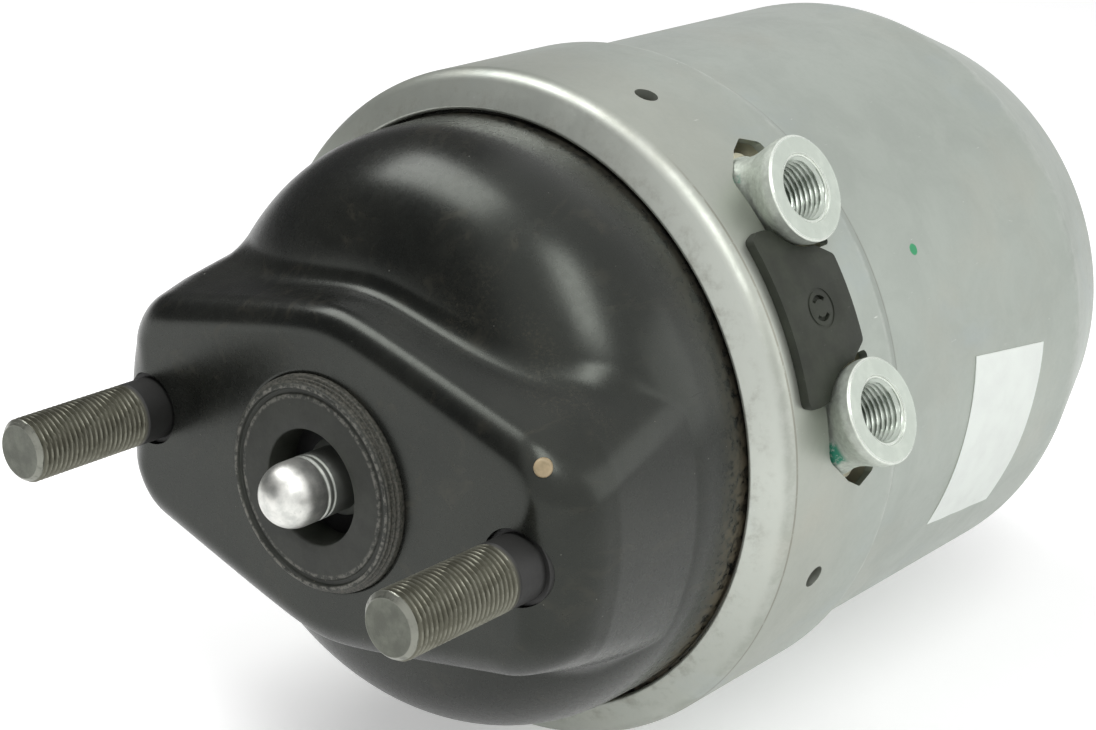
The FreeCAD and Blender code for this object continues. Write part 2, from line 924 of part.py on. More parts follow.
# The label is a rectangle turned a little on the can, laid round it.
def paper_label():
    inner = can_radius + 0.02
    half_along = label_width / 2
    half_round = label_height / 2
    reach = half_along + half_round
    shell = rod(inner + label_thickness, label_centre - reach, label_centre + reach)
    shell = shell.cut(rod(inner, label_centre - 2 * reach, label_centre + 2 * reach))
    box = Part.makeBox(
        120,
        label_width,
        label_height,
        FreeCAD.Vector(0, label_centre - half_along, -half_round),
    )
    box.rotate(FreeCAD.Vector(0, label_centre, 0), FreeCAD.Vector(1, 0, 0), label_tilt)
    box.rotate(origin, axis_y, -label_angle)
    return shell.common(box)


save("front_housing", front_housing())
save("drain_plug", drain_plug())
save("mounting_studs", mounting_studs())
save("seal_ring", seal_ring())
save("push_rod", push_rod())
save("push_plate", push_plate())
save("rod_bellows", rod_bellows())
save("return_spring", return_spring())
save("diaphragm", diaphragm())
save("outer_can", outer_can())
save("flange_body", flange_body())
save("service_port", port(1))
save("spring_port", port(-1))
save("port_seals", port_seals())
save("port_retainer", port_retainer())
save("guide_bush", guide_bush())
save("rod_seals", rod_seals())
save("flange_o_ring", flange_o_ring())
save("spring_piston", spring_piston())
save("piston_seal", piston_seal())
save("piston_guide_ring", piston_guide_ring())
save("piston_tube", piston_tube())
save("tube_end_cap", tube_end_cap())
save("tube_seal", tube_seal())
save("tube_collar", tube_collar())
save("power_spring", power_spring())
save("release_nut", release_nut())
save("release_bolt", release_bolt())
save("bolt_end_nut", bolt_end_nut())
save("thrust_washer", thrust_washer())
save("paper_label", paper_label())
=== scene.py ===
import bpy
import json
import math
import numpy as np
from mathutils import Matrix, Quaternion, Vector


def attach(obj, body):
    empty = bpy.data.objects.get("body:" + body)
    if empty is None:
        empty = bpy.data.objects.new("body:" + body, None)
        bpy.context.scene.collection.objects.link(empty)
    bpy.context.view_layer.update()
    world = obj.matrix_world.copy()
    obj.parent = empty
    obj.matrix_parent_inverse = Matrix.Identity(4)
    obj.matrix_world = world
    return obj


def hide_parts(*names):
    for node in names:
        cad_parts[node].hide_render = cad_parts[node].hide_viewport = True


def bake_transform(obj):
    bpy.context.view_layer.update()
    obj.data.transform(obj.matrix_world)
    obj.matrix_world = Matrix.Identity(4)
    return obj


# Looks of the brake cylinder. Sizes are in millimetres and become metres when a mesh is made.
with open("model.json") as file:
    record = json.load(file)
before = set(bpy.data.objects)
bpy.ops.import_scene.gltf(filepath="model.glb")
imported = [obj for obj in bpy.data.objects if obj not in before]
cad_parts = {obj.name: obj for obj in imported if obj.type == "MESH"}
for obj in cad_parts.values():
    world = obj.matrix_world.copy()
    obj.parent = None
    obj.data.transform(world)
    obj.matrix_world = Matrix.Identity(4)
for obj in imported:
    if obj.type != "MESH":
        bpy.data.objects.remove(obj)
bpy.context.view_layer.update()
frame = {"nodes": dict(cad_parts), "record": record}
mm = 0.001
fullTurn = 2 * math.pi


# A socket of a node tree. Arithmetic on it adds Math nodes.
class Wire:
    def __init__(self, board, socket):
        self.board = board
        self.socket = socket

    def math(self, operation, first, second=0.0):
        return self.board.node("ShaderNodeMath", {"operation": operation}, {0: first, 1: second})

    # 0 at low, 1 at high, a smooth step between; low may be the larger one
    def step(self, low, high):
        sockets = {"Value": self, "From Min": low, "From Max": high}
        return self.board.node("ShaderNodeMapRange", {"interpolation_type": "SMOOTHSTEP"}, sockets)

    # 1 near a value, falling to 0 at the far distance from it
    def near(self, value, far, close):
        return (self - value).absolute().step(far, close)


for name, operation in (("add", "ADD"), ("sub", "SUBTRACT"), ("mul", "MULTIPLY"), ("truediv", "DIVIDE")):
    setattr(Wire, f"__{name}__", lambda self, other, o=operation: self.math(o, self, other))
    setattr(Wire, f"__r{name}__", lambda self, other, o=operation: self.math(o, other, self))
compared = {"__gt__": "GREATER_THAN", "__lt__": "LESS_THAN", "smaller": "MINIMUM", "larger": "MAXIMUM"}
for name, operation in compared.items():
    setattr(Wire, name, lambda self, other, o=operation: self.math(o, self, other))
changed = {"absolute": "ABSOLUTE", "fraction": "FRACT", "sine": "SINE", "cosine": "COSINE"}
for name, operation in changed.items():
    setattr(Wire, name, lambda self, o=operation: self.math(o, self))


# A node tree, of a material, of the world or of Geometry Nodes, with one method that adds any node.
class Board:
    def __init__(self, tree, material=None):
        self.tree = tree
        self.material = material

    def node(self, kind, settings=None, sockets=None, output=0):
        made = self.tree.nodes.new(kind)
        for key, value in (settings or {}).items():
            setattr(made, key, value)
        for key, value in (sockets or {}).items():
            socket = made.inputs[key]
            if isinstance(value, Wire):
                self.tree.links.new(value.socket, socket)
            elif socket.type == "RGBA":
                socket.default_value = (*value[:3], 1)
            else:
                socket.default_value = value
        return Wire(self, made.outputs[output] if len(made.outputs) else None)

    def beside(self, wire, name):
        return Wire(self, wire.socket.node.outputs[name])

    def place(self):
        return self.node("ShaderNodeTexCoord", output="Object")

    def axes(self, vector=None):
        split = self.node("ShaderNodeSeparateXYZ", None, {0: vector or self.place()})
        return [self.beside(split, axis) for axis in "XYZ"]

    def vector(self, operation, first, second=None, output=0):
        sockets = {0: first} if second is None else {0: first, 1: second}
        return self.node("ShaderNodeVectorMath", {"operation": operation}, sockets, output)

    def stretched(self, factors):
        return self.vector("MULTIPLY", self.place(), factors)

    # how far a point lies along a direction, in millimetres
    def along(self, direction):
        return self.vector("DOT_PRODUCT", self.place(), tuple(direction), "Value") / mm

    # distance in millimetres from a line through a point, given in millimetres, along a direction
    def fromLine(self, point, direction):
        moved = self.vector("SUBTRACT", self.place(), tuple(p * mm for p in point))
        crossed = self.vector("CROSS_PRODUCT", moved, tuple(direction))
        return self.vector("LENGTH", crossed, output="Value") / mm

    # depth behind the mounting face, in millimetres
    def depth(self):
        return self.along((0, 1, 0))

    # distance from the long axis, in millimetres
    def radius(self):
        return self.fromLine((0, 0, 0), (0, 1, 0))

    def noise(self, grain, detail=4.0, roughness=0.55, vector=None, distortion=0.0):
        sockets = {
            "Vector": vector or self.place(),
            "Scale": 1 / (grain * mm),
            "Detail": detail,
            "Roughness": roughness,
            "Distortion": distortion,
        }
        return self.node("ShaderNodeTexNoise", None, sockets)

    def cells(self, grain, vector=None):
        sockets = {"Vector": vector or self.place(), "Scale": 1 / (grain * mm)}
        return self.node("ShaderNodeTexVoronoi", None, sockets, "Distance")

    # mask of specks: grain is their spacing, size their radius, share how many cells hold one
    def specks(self, grain, size, share):
        spots = self.cells(grain)
        chosen = self.node("ShaderNodeSeparateColor", None, {0: self.beside(spots, "Color")}) < share
        return spots.step(size / grain, 0.4 * size / grain) * chosen

    def blend(self, factor, first, second):
        sockets = {"Factor": factor, 6: first, 7: second}
        return self.node("ShaderNodeMix", {"data_type": "RGBA"}, sockets, 2)

    # a colour with others laid over it, each given with its mask
    def layers(self, colour, *others):
        for mask, paint in others:
            colour = self.blend(mask, colour, paint)
        return colour

    # a normal from bumps laid on each other, each with its height, its depth in millimetres and a strength
    def bumps(self, *heights):
        below = {}
        for height, depth, *strength in heights:
            sockets = {"Height": height, "Distance": depth * mm, "Strength": (*strength, 1.0)[0], **below}
            below = {"Normal": self.node("ShaderNodeBump", None, sockets)}
        return below["Normal"]

    # joins the shader and the output; further sockets go by their names
    def finish(self, colour, rough, normal=None, further=None):
        sockets = {"Base Color": colour, "Roughness": rough, **(further or {})}
        if normal is not None:
            sockets["Normal"] = normal
        shader = self.node("ShaderNodeBsdfPrincipled", None, sockets)
        self.end(shader, "ShaderNodeOutputMaterial")
        return self.material

    def end(self, shader, output):
        self.tree.links.new(shader.socket, self.tree.nodes.new(output).inputs["Surface"])


def newMaterial(name):
    material = bpy.data.materials.new(name)
    material.use_nodes = True
    material.node_tree.nodes.clear()
    return Board(material.node_tree, material)


# directions of the air ports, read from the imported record
portMount = next(m for m in frame["record"]["mounts"] if m["name"] == "service_port_thread")
portOut = np.array(portMount["axis"], float)
portOut = portOut / np.linalg.norm(portOut)
portSide = np.array([-portOut[2], 0.0, portOut[0]])
portLayout = {"offset": 28.0, "depth": 93.0, "face": 93.5}


# a point at a height on the axis of a port, which lies to one side of their middle
def portPoint(side, height):
    across = portSide * side * portLayout["offset"]
    return across + portOut * height + np.array([0.0, portLayout["depth"], 0.0])


# Materials


# Steps and bends are given as the values where a mask begins and ends. Those with three numbers say
# where the middle of a mask lies, and how far from it the mask ends and is full.
housingFinish = {
    "paint": (0.006, 0.0065, 0.006),
    "film": (0.014, 0.0145, 0.0125),
    "dust": (0.115, 0.098, 0.066),
    "speck": (0.30, 0.30, 0.26),
    "roughness": 0.21,
    "ior": 1.46,
    "gleam": (0.94, 1.0, 0.90),
    "peelGrain": 1.1,
    "peelDepth": 0.008,
    "rimDust": (58, 68),
    "rimSide": (0.0, 0.075),
    "valleyDepth": (19, 8, 3),
    "valleyRight": (0.012, 0.034),
    "valleyUp": (0.024, 0.036),
    "valleyShare": 0.24,
}


def housingPaint():
    look = housingFinish
    board = newMaterial("housingPaint")
    x, y, z = board.axes()
    depth = y / mm
    cloud = board.noise(26, 5, 0.6)
    fine = board.noise(2.2, 4, 0.6)
    # brown dust lies against the lip, mostly low on the right
    lowRight = (x * 0.7 - z).step(*look["rimSide"])
    nearRim = (depth + cloud * 12).step(*look["rimDust"]) * (0.15 + 0.85 * lowRight) * fine.step(0.34, 0.60)
    smears = board.noise(9, 6, 0.65, board.stretched((1, 0.4, 1)), 0.8).step(0.55, 0.75) * 0.3
    # and in the valley between the right ear and the dome
    inValley = depth.near(*look["valleyDepth"]) * x.step(*look["valleyRight"]) * z.step(*look["valleyUp"])
    patches = board.noise(0.8, 4, 0.7).step(0.48, 0.66) * cloud.step(0.35, 0.6)
    settled = inValley * patches * look["valleyShare"]
    dusty = (nearRim * 0.8).larger(smears * cloud).larger(settled)
    dots = board.specks(2.6, 0.17, 0.06).larger(board.specks(6.5, 0.32, 0.07))
    colour = board.layers(
        look["paint"],
        (cloud.step(0.35, 0.7), look["film"]),
        (dusty, look["dust"]),
        (dots * 0.7, look["speck"]),
    )
    scratch = board.noise(1.3, 2, 0.5, board.stretched((1, 0.06, 1)), 0.4).step(0.73, 0.78)
    rough = look["roughness"] + 0.12 * fine + 0.3 * dusty + 0.25 * dots + 0.1 * scratch
    peel = board.noise(look["peelGrain"], 2, 0.5)
    normal = board.bumps((board.noise(16, 2, 0.5), 0.10, 0.5), (peel, look["peelDepth"]), (dots, 0.04))
    return board.finish(colour, rough, normal, {"IOR": look["ior"], "Specular Tint": look["gleam"]})


canFinish = {
    "metal": (0.385, 0.42, 0.38),
    "shade": (0.345, 0.375, 0.34),
    "warm": (0.40, 0.40, 0.345),
    "blue": (0.36, 0.41, 0.41),
    "bright": (0.74, 0.76, 0.72),
    # pale colour of the lip's slope, partly a painted highlight
    "lip": (0.60, 0.63, 0.575),
    "dirtAndShade": (0.17, 0.155, 0.12),
    "green": (0.05, 0.30, 0.14),
    "roughness": 0.44,
    "metallic": 0.75,
    "warmDepth": (108, 84),
    "lipDepth": (67.4, 65.6),
    "lipAcross": (-0.075, 0.010),
    "lipUp": (-0.055, 0.030),
    "lipBend": (67.6, 2.4, 0.5),
    "stepBend": (113.2, 1.6, 0.3),
    "rearBend": (214, 4.5, 1.0),
    # painted shade: dark lines at the lip's fold and at the step's foot
    "foldShade": (69.4, 0.42, 0.16),
    "foldShadeAcross": (0.035, 0.060),
    "stepFootShade": (118.4, 0.5, 0.2),
    "innerEdge": (66.5, 62.6),
    "dabTurn": 33.4,
    "dabDepth": 139.2,
    "dabRadius": (2.0, 1.6),
}


def canMetal():
    look = canFinish
    board = newMaterial("canMetal")
    x, y, z = board.axes()
    depth = y / mm
    broad = board.noise(48, 4, 0.6)
    cloud = board.noise(17, 6, 0.62, distortion=0.6)
    fine = board.noise(1.7, 5, 0.7)
    draw = board.noise(3.0, 3, 0.6, board.stretched((1, 0.08, 1)))
    rub = board.noise(5, 5, 0.7)
    # the rolled band is a little warmer than the barrel
    warmth = depth.step(*look["warmDepth"]) * 0.4 + broad.step(0.52, 0.72) * 0.35
    stain = board.noise(33, 4, 0.6, board.stretched((1, 0.7, 1.3))).step(0.55, 0.72)
    # the slope of the lip is pale and smoother than the rest; its paleness is partly a painted highlight,
    # strongest toward the top and the right, less so on the left and below
    lip = depth.step(*look["lipDepth"]) * x.step(*look["lipAcross"])
    lip = lip * (0.45 + 0.55 * z.step(*look["lipUp"]))
    # rubbed bends: rolled lip, step and rear shoulder
    bends = (depth.near(*look["lipBend"]) * 0.25).larger(depth.near(*look["stepBend"]) * 0.3)
    rubbed = bends.larger(depth.near(*look["rearBend"]) * 0.2) * rub.step(0.40, 0.62)
    scuffs = board.noise(1.1, 3, 0.6, board.stretched((1, 0.18, 1)), 0.5).step(0.70, 0.76)
    scuffs = scuffs * cloud.step(0.5, 0.62)
    # painted shade: fine dark lines in the crease of the lip's fold on its right, and at the foot of the
    # step
    foldShade = depth.near(*look["foldShade"]) * x.step(*look["foldShadeAcross"])
    lines = foldShade.larger(depth.near(*look["stepFootShade"])) * rub.step(0.30, 0.46)
    # darker toward the inner edge of the lip, in patches, and small dark specks
    dirtAndShade = depth.step(*look["innerEdge"]) * rub.step(0.46, 0.70) * 0.4
    dirtAndShade = dirtAndShade.larger(board.specks(11, 0.4, 0.05) * 0.6)
    # one small dab of green ink, on the near side only
    turn = math.radians(look["dabTurn"])
    dab = board.fromLine((0, look["dabDepth"], 0), (math.cos(turn), 0, math.sin(turn)))
    ink = (dab + fine * 0.5).step(*look["dabRadius"]) * (x > 0.0)
    colour = board.layers(
        look["metal"],
        (cloud.step(0.36, 0.68) * 0.7, look["shade"]),
        (warmth, look["warm"]),
        (stain * 0.4, look["blue"]),
        (fine.step(0.50, 0.72) * 0.18, look["shade"]),
        (lip * 0.8, look["lip"]),
        ((rubbed * 0.55).larger(scuffs * 0.7), look["bright"]),
        # painted shade: the crease lines, in the dark dirt colour
        (lines * 0.55, look["dirtAndShade"]),
        (dirtAndShade, look["dirtAndShade"]),
        (ink, look["green"]),
    )
    rough = look["roughness"] + 0.16 * (fine - 0.5) + 0.12 * (cloud - 0.5)
    rough = rough - 0.10 * rubbed - 0.07 * lip + 0.25 * dirtAndShade
    normal = board.bumps((broad, 0.30, 0.35), (draw, 0.010), (fine, 0.012), (scuffs, -0.02))
    return board.finish(colour, rough, normal, {"Metallic": look["metallic"]})


portFinish = {
    "cast": (0.60, 0.65, 0.58),
    "hollow": (0.47, 0.51, 0.45),
    "machined": (0.50, 0.55, 0.49),
    # a painted highlight on the rim and mouth edges
    "edge": (0.86, 0.90, 0.83),
    "green": (0.03, 0.27, 0.17),
    "metallic": 0.55,
    "bore": (8.4, 8.2),
    "rim": (12.9, 0.45, 0.12),
    "rimHeight": (90, 92.6),
    "mouth": (8.35, 0.5, 0.15),
    "mouthHeight": (91.8, 92.6),
}


def portMetal():
    look = portFinish
    board = newMaterial("portMetal")
    height = board.along(portOut)
    centres = [portPoint(side, 0.0) for side in (1, -1)]
    fromAxis = board.fromLine(centres[0], portOut).smaller(board.fromLine(centres[1], portOut))
    grit = board.noise(1.6, 5, 0.7)
    lumps = board.noise(5.5, 3, 0.6)
    face = height.step(portLayout["face"] - 0.35, portLayout["face"] - 0.1)
    machined = face.larger(fromAxis.step(*look["bore"]))
    rings = (fromAxis * 3.1 + lumps * 0.6).fraction()
    # painted highlight: a bright line round the outer rim of each port's face and round its mouth
    rim = fromAxis.near(*look["rim"]) * height.step(*look["rimHeight"])
    edge = rim.larger(fromAxis.near(*look["mouth"]) * height.step(*look["mouthHeight"]))
    # green witness paint: a drop at the foot of the lower port, and a smaller one at the upper one
    drop = board.fromLine(centres[1] + portSide * -6.5 + np.array([0, -8.5, 0]), portOut)
    green = (drop + lumps * 5).step(5.6, 4.6) * height.step(84.5, 82.5)
    other = board.fromLine(centres[0] + portSide * 7.5 + np.array([0, -7.5, 0]), portOut)
    green = green.larger((other + lumps * 5).step(3.9, 3.2) * height.step(82.0, 81.0) * 0.6)
    colour = board.layers(
        look["hollow"],
        (grit.step(0.36, 0.66), look["cast"]),
        (machined, look["machined"]),
        (machined * board.noise(4, 4, 0.6).step(0.45, 0.7) * 0.5, look["cast"]),
        # the painted highlight on the rim and the mouth
        (edge * 0.5, look["edge"]),
        (green * grit.step(0.35, 0.5), look["green"]),
    )
    normal = board.bumps((lumps, 0.30, 0.5), ((1 - machined) * grit, 0.14), (rings * face, 0.006))
    rough = 0.52 - 0.2 * machined + 0.15 * (grit - 0.5) - 0.1 * edge
    return board.finish(colour, rough, normal, {"Metallic": look["metallic"] * (1 - green)})


plateFinish = {
    "dark": (0.019, 0.0220, 0.0152),
    "light": (0.031, 0.036, 0.025),
    "wear": (0.16, 0.16, 0.145),
    "specular": 0.36,
}


def plateShade():
    look = plateFinish
    board = newMaterial("plateShade")
    fine = board.noise(0.9, 4, 0.6)
    cloud = board.noise(9, 4, 0.6)
    wear = board.noise(1.6, 3, 0.6, board.stretched((1, 0.35, 1))).step(0.66, 0.74) * cloud.step(0.42, 0.6)
    colour = board.layers(look["dark"], (cloud.step(0.35, 0.7), look["light"]), (wear * 0.35, look["wear"]))
    normal = board.bumps((fine, 0.03), (cloud, 0.1, 0.4))
    return board.finish(colour, 0.58 + 0.12 * fine, normal, {"Specular IOR Level": look["specular"]})


studFinish = {
    "thread": (0.112, 0.110, 0.083),
    "threadLight": (0.13, 0.128, 0.098),
    # lighter crests: worn, and partly a painted highlight
    "crest": (0.235, 0.235, 0.19),
    "tip": (0.150, 0.158, 0.131),
    "tipDark": (0.105, 0.11, 0.092),
    "chamfer": (0.24, 0.245, 0.21),
    "shank": (0.012, 0.012, 0.011),
    "crestRadius": (7.55, 7.95),
    "chamferRadius": (6.35, 6.7),
    "spacing": 120.65,
    "radius": 8.0,
    "tipRadius": 6.6,
    "length": 40.5,
    "threadEnd": -7.0,
}


def studSteel():
    look = studFinish
    board = newMaterial("studSteel")
    depth = board.depth()
    half = look["spacing"] / 2
    left, right = (board.fromLine((side * half, 0, 0), (0, 1, 0)) for side in (-1, 1))
    fromAxis = right.smaller(left)
    fine = board.noise(0.8, 4, 0.65)
    cloud = board.noise(5, 5, 0.65)
    streak = board.noise(2.4, 4, 0.6, board.stretched((1, 0.25, 1)))
    # the thread crests are lighter: worn, and partly painted with the highlight that they catch
    crest = fromAxis.step(*look["crestRadius"]) * streak.step(0.36, 0.60)
    tip = depth.step(-look["length"] + 1.75, -look["length"] + 1.35)
    ring = tip * fromAxis.step(*look["chamferRadius"])
    shank = depth.step(look["threadEnd"] - 0.5, look["threadEnd"] + 0.3)
    colour = board.layers(
        look["thread"],
        (cloud.step(0.3, 0.7), look["threadLight"]),
        (crest * 0.75, look["crest"]),
        (tip, board.blend(cloud.step(0.35, 0.65), look["tip"], look["tipDark"])),
        (ring * streak.step(0.3, 0.5), look["chamfer"]),
        (shank, look["shank"]),
    )
    normal = board.bumps((fine, 0.035), ((fromAxis * 1.4).fraction() * tip, 0.012))
    rough = 0.44 + 0.22 * (fine - 0.5) - 0.12 * ring + 0.12 * shank
    return board.finish(colour, rough, normal, {"Metallic": 0.75 - 0.7 * shank})


sealFinish = {
    "dark": (0.0145, 0.0165, 0.0118),
    "light": (0.024, 0.0265, 0.020),
    "scuff": (0.34, 0.33, 0.29),
    "rib": (0.16, 0.15, 0.125),
    "dot": (0.30, 0.28, 0.22),
    "rim": (24.85, 0.9, 0.35),
    "rimDepth": (-3.6, -4.2),
    "groove": (22.3, 0.8, 0.2),
    "grooveDepth": (-2.4, -3.2),
    "ribs": (25.25, 25.6),
}


def sealRubber():
    look = sealFinish
    board = newMaterial("sealRubber")
    depth = board.depth()
    fromAxis = board.radius()
    fine = board.noise(0.7, 4, 0.65)
    cloud = board.noise(6, 5, 0.6)
    rim = fromAxis.near(*look["rim"]) * depth.step(*look["rimDepth"])
    groove = fromAxis.near(*look["groove"]) * depth.step(*look["grooveDepth"]) * 0.5
    scuff = rim.larger(groove) * board.noise(1.5, 5, 0.7, board.stretched((1, 0.5, 1))).step(0.42, 0.60)
    ribs = fromAxis.step(*look["ribs"]) * fine.step(0.35, 0.65)
    colour = board.layers(
        look["dark"],
        (cloud.step(0.35, 0.68), look["light"]),
        (scuff * 0.7, look["scuff"]),
        (ribs * 0.5, look["rib"]),
        (board.specks(1.9, 0.16, 0.16) * 0.6, look["dot"]),
    )
    normal = board.bumps((fine, 0.04), (cloud, 0.2, 0.4))
    return board.finish(colour, 0.50 + 0.2 * fine + 0.1 * scuff, normal)


def turnedSteel(name, metal, shade, roughness, ringPitch=0.35, grime=0.35):
    board = newMaterial(name)
    fine = board.noise(1.1, 5, 0.65)
    spun = board.noise(0.5, 2, 0.5, board.stretched((0.1, 1, 0.1)))
    cloud = board.noise(7, 4, 0.6).step(0.35, 0.7)
    colour = board.layers(metal, (cloud, shade), (fine.step(0.58, 0.74) * grime, (0.12, 0.105, 0.085)))
    lines = ((board.depth() + board.radius()) / ringPitch + spun * 0.5).fraction()
    normal = board.bumps((lines, 0.006), (fine, 0.012))
    return board.finish(colour, roughness + 0.18 * (fine - 0.4), normal, {"Metallic": 0.95})


rodFinish = {
    "bright": (0.78, 0.78, 0.74),
    "dull": (0.55, 0.56, 0.53),
    "behind": (0.36, 0.375, 0.345),
    "grime": (0.16, 0.15, 0.12),
    "behindDepth": (-5.6, -3.0),
    "linesDepth": (-9.5, -8.5),
}


def rodTipSteel():
    look = rodFinish
    board = newMaterial("rodTipSteel")
    depth = board.depth()
    fine = board.noise(0.8, 5, 0.65)
    cloud = board.noise(3.5, 4, 0.6)
    hammered = board.cells(2.1, board.stretched((1, 0.5, 1)))
    behind = (depth + cloud * 2.0).step(*look["behindDepth"])
    colour = board.layers(
        look["bright"],
        (cloud.step(0.35, 0.7), look["dull"]),
        (behind, look["behind"]),
        (fine.step(0.62, 0.76) * 0.4, look["grime"]),
    )
    lines = (depth * 2.6).fraction() * depth.step(*look["linesDepth"])
    brushed = board.noise(0.9, 3, 0.6, board.stretched((1, 0.2, 1)))
    normal = board.bumps((hammered, 0.05, 0.5), (lines, 0.02), (brushed, 0.03))
    return board.finish(colour, 0.38 + 0.2 * (fine - 0.4) + 0.1 * behind, normal, {"Metallic": 0.95})


def castGrain(name, light, dark, roughness, metallic):
    board = newMaterial(name)
    grit = board.noise(1.5, 5, 0.7)
    lumps = board.noise(9, 4, 0.6)
    colour = board.layers(light, (lumps.step(0.35, 0.68), dark), (grit.step(0.55, 0.75) * 0.5, dark))
    normal = board.bumps((lumps, 0.25, 0.5), (grit, 0.10))
    return board.finish(colour, roughness + 0.2 * (grit - 0.5), normal, {"Metallic": metallic})


def plainRubber(name, tone):
    board = newMaterial(name)
    fine = board.noise(0.8, 4, 0.65)
    dull = tuple(channel * 1.9 for channel in tone)
    colour = board.blend(board.noise(8, 4, 0.6).step(0.35, 0.7), tone, dull)
    return board.finish(colour, 0.55 + 0.2 * fine, board.bumps((fine, 0.03)))


def mouldedPlastic(name, tone, shade):
    board = newMaterial(name)
    fine = board.noise(0.6, 3, 0.6)
    colour = board.blend(board.noise(2.5, 4, 0.6).step(0.35, 0.7), tone, shade)
    return board.finish(colour, 0.45 + 0.15 * fine, board.bumps((fine, 0.02)))


def labelPaper():
    board = newMaterial("labelPaper")
    fibre = board.noise(0.35, 4, 0.7)
    cloud = board.noise(12, 4, 0.6)
    grime = board.noise(5, 6, 0.7).step(0.60, 0.78)
    colour = board.layers(
        (0.89, 0.94, 0.89),
        (cloud.step(0.35, 0.7), (0.84, 0.88, 0.84)),
        (grime * 0.25, (0.48, 0.48, 0.45)),
    )
    normal = board.bumps((fibre, 0.015), (cloud, 0.12, 0.5))
    return board.finish(colour, 0.62 + 0.1 * fibre, normal)


finishes = {
    "housing": housingPaint(),
    "can": canMetal(),
    "port": portMetal(),
    "plate": plateShade(),
    "stud": studSteel(),
    "seal": sealRubber(),
    "rod": rodTipSteel(),
    "tube": turnedSteel("tubeSteel", (0.70, 0.70, 0.68), (0.55, 0.55, 0.53), 0.25, 0.4, 0.1),
    "zinc": turnedSteel("zincPlate", (0.62, 0.63, 0.60), (0.47, 0.48, 0.44), 0.36),
    "cast": castGrain("castAluminium", (0.80, 0.77, 0.60), (0.62, 0.59, 0.45), 0.6, 0.2),
    "springSteel": castGrain("springCoat", (0.10, 0.105, 0.11), (0.05, 0.05, 0.05), 0.45, 0.5),
    "rubber": plainRubber("ringRubber", (0.018, 0.018, 0.018)),
    "diaphragm": plainRubber("diaphragmRubber", (0.028, 0.027, 0.026)),
    "bush": mouldedPlastic("bushPlastic", (0.30, 0.21, 0.10), (0.22, 0.15, 0.07)),
    "plug": mouldedPlastic("plugPlastic", (0.46, 0.36, 0.22), (0.34, 0.27, 0.16)),
    "label": labelPaper(),
}
print("materials made")


# Mesh helpers


def show(name, data):
    piece = bpy.data.objects.new(name, data)
    bpy.context.scene.collection.objects.link(piece)
    return piece


def makeMesh(name, points, faces, material, smooth=35):
    mesh = bpy.data.meshes.new(name)
    mesh.from_pydata([tuple(p * mm for p in point) for point in points], [], faces)
    mesh.materials.append(material)
    mesh.validate()
    softShade(mesh, smooth)
    return show(name, mesh)


def softShade(mesh, angle):
    mesh.polygons.foreach_set("use_smooth", [True] * len(mesh.polygons))
    mesh.set_sharp_from_angle(angle=math.radians(angle))


# The mesh of an object as its modifiers leave it.
def changedMesh(piece):
    return bpy.data.meshes.new_from_object(piece.evaluated_get(bpy.context.evaluated_depsgraph_get()))


# Hides the CAD node that a piece stands for, and hangs the piece on the body that it rides on.
def dress(piece, node, body="cylinder"):
    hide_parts(node)
    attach(piece, body)


# Closed or open line through corners (u, v, rounding), with each rounding as a short arc.
def bentLine(corners, closed=True, perArc=6):
    line = []
    count = len(corners)
    for i, corner in enumerate(corners):
        here = np.array(corner[:2], float)
        rounding = corner[2] if len(corner) > 2 else 0
        if rounding <= 0 or (not closed and i in (0, count - 1)):
            line.append(here)
            continue
        back = np.array(corners[i - 1][:2], float) - here
        ahead = np.array(corners[(i + 1) % count][:2], float) - here
        back = back / np.linalg.norm(back)
        ahead = ahead / np.linalg.norm(ahead)
        half = math.acos(np.clip(np.dot(back, ahead), -1, 1)) / 2
        centre = here + (back + ahead) / np.linalg.norm(back + ahead) * rounding / math.sin(half)
        start = here + back * rounding / math.tan(half) - centre
        end = here + ahead * rounding / math.tan(half) - centre
        sweep = math.atan2(start[0] * end[1] - start[1] * end[0], float(np.dot(start, end)))
        steps = max(2, round(perArc * abs(sweep) / (math.pi / 2)))
        for k in range(steps + 1):
            cosine = math.cos(sweep * k / steps)
            sine = math.sin(sweep * k / steps)
            spun = [start[0] * cosine - start[1] * sine, start[0] * sine + start[1] * cosine]
            line.append(centre + np.array(spun))
    return np.array(line)


# Faces of a grid of rows x columns, wrapped round its columns and, where asked, its rows.
def gridFaces(rows, columns, wrapRows):
    faces = []
    for i in range(rows if wrapRows else rows - 1):
        for j in range(columns):
            row = i * columns
            above = (i + 1) % rows * columns
            beside = (j + 1) % columns
            faces.append((row + j, row + beside, above + beside, above + j))
    return faces


# Points at radii and depths, turned by an angle round the Y axis.
def turned(radius, y, turn):
    return radius * math.cos(turn), y, radius * math.sin(turn)


# Turns a closed profile (radius, y) round the Y axis; radius 0 at both ends closes it at poles.
def latheGrid(profile, segments):
    angles = np.arange(segments) * fullTurn / segments
    radius = profile[:, 0][:, None]
    x = radius * np.cos(angles)
    z = radius * np.sin(angles)
    y = np.repeat(profile[:, 1][:, None], segments, axis=1)
    return np.stack([x, y, z], axis=-1).reshape(-1, 3)


def lathe(name, profile, segments, material, smooth=35, move=None):
    poles = profile[0][0] < 1e-6 and profile[-1][0] < 1e-6
    points = latheGrid(profile[1:-1] if poles else profile, segments)
    rows = len(points) // segments
    faces = gridFaces(rows, segments, not poles)
    if poles:
        points = np.vstack([points, [0, profile[0][1], 0], [0, profile[-1][1], 0]])
        first = rows * segments
        for j in range(segments):
            following = (j + 1) % segments
            faces.append((first, following, j))
            last = (rows - 1) * segments
            faces.append((first + 1, last + j, last + following))
    if move is not None:
        points = move(points)
    piece = makeMesh(name, points, faces, material, smooth)
    return outward(piece)


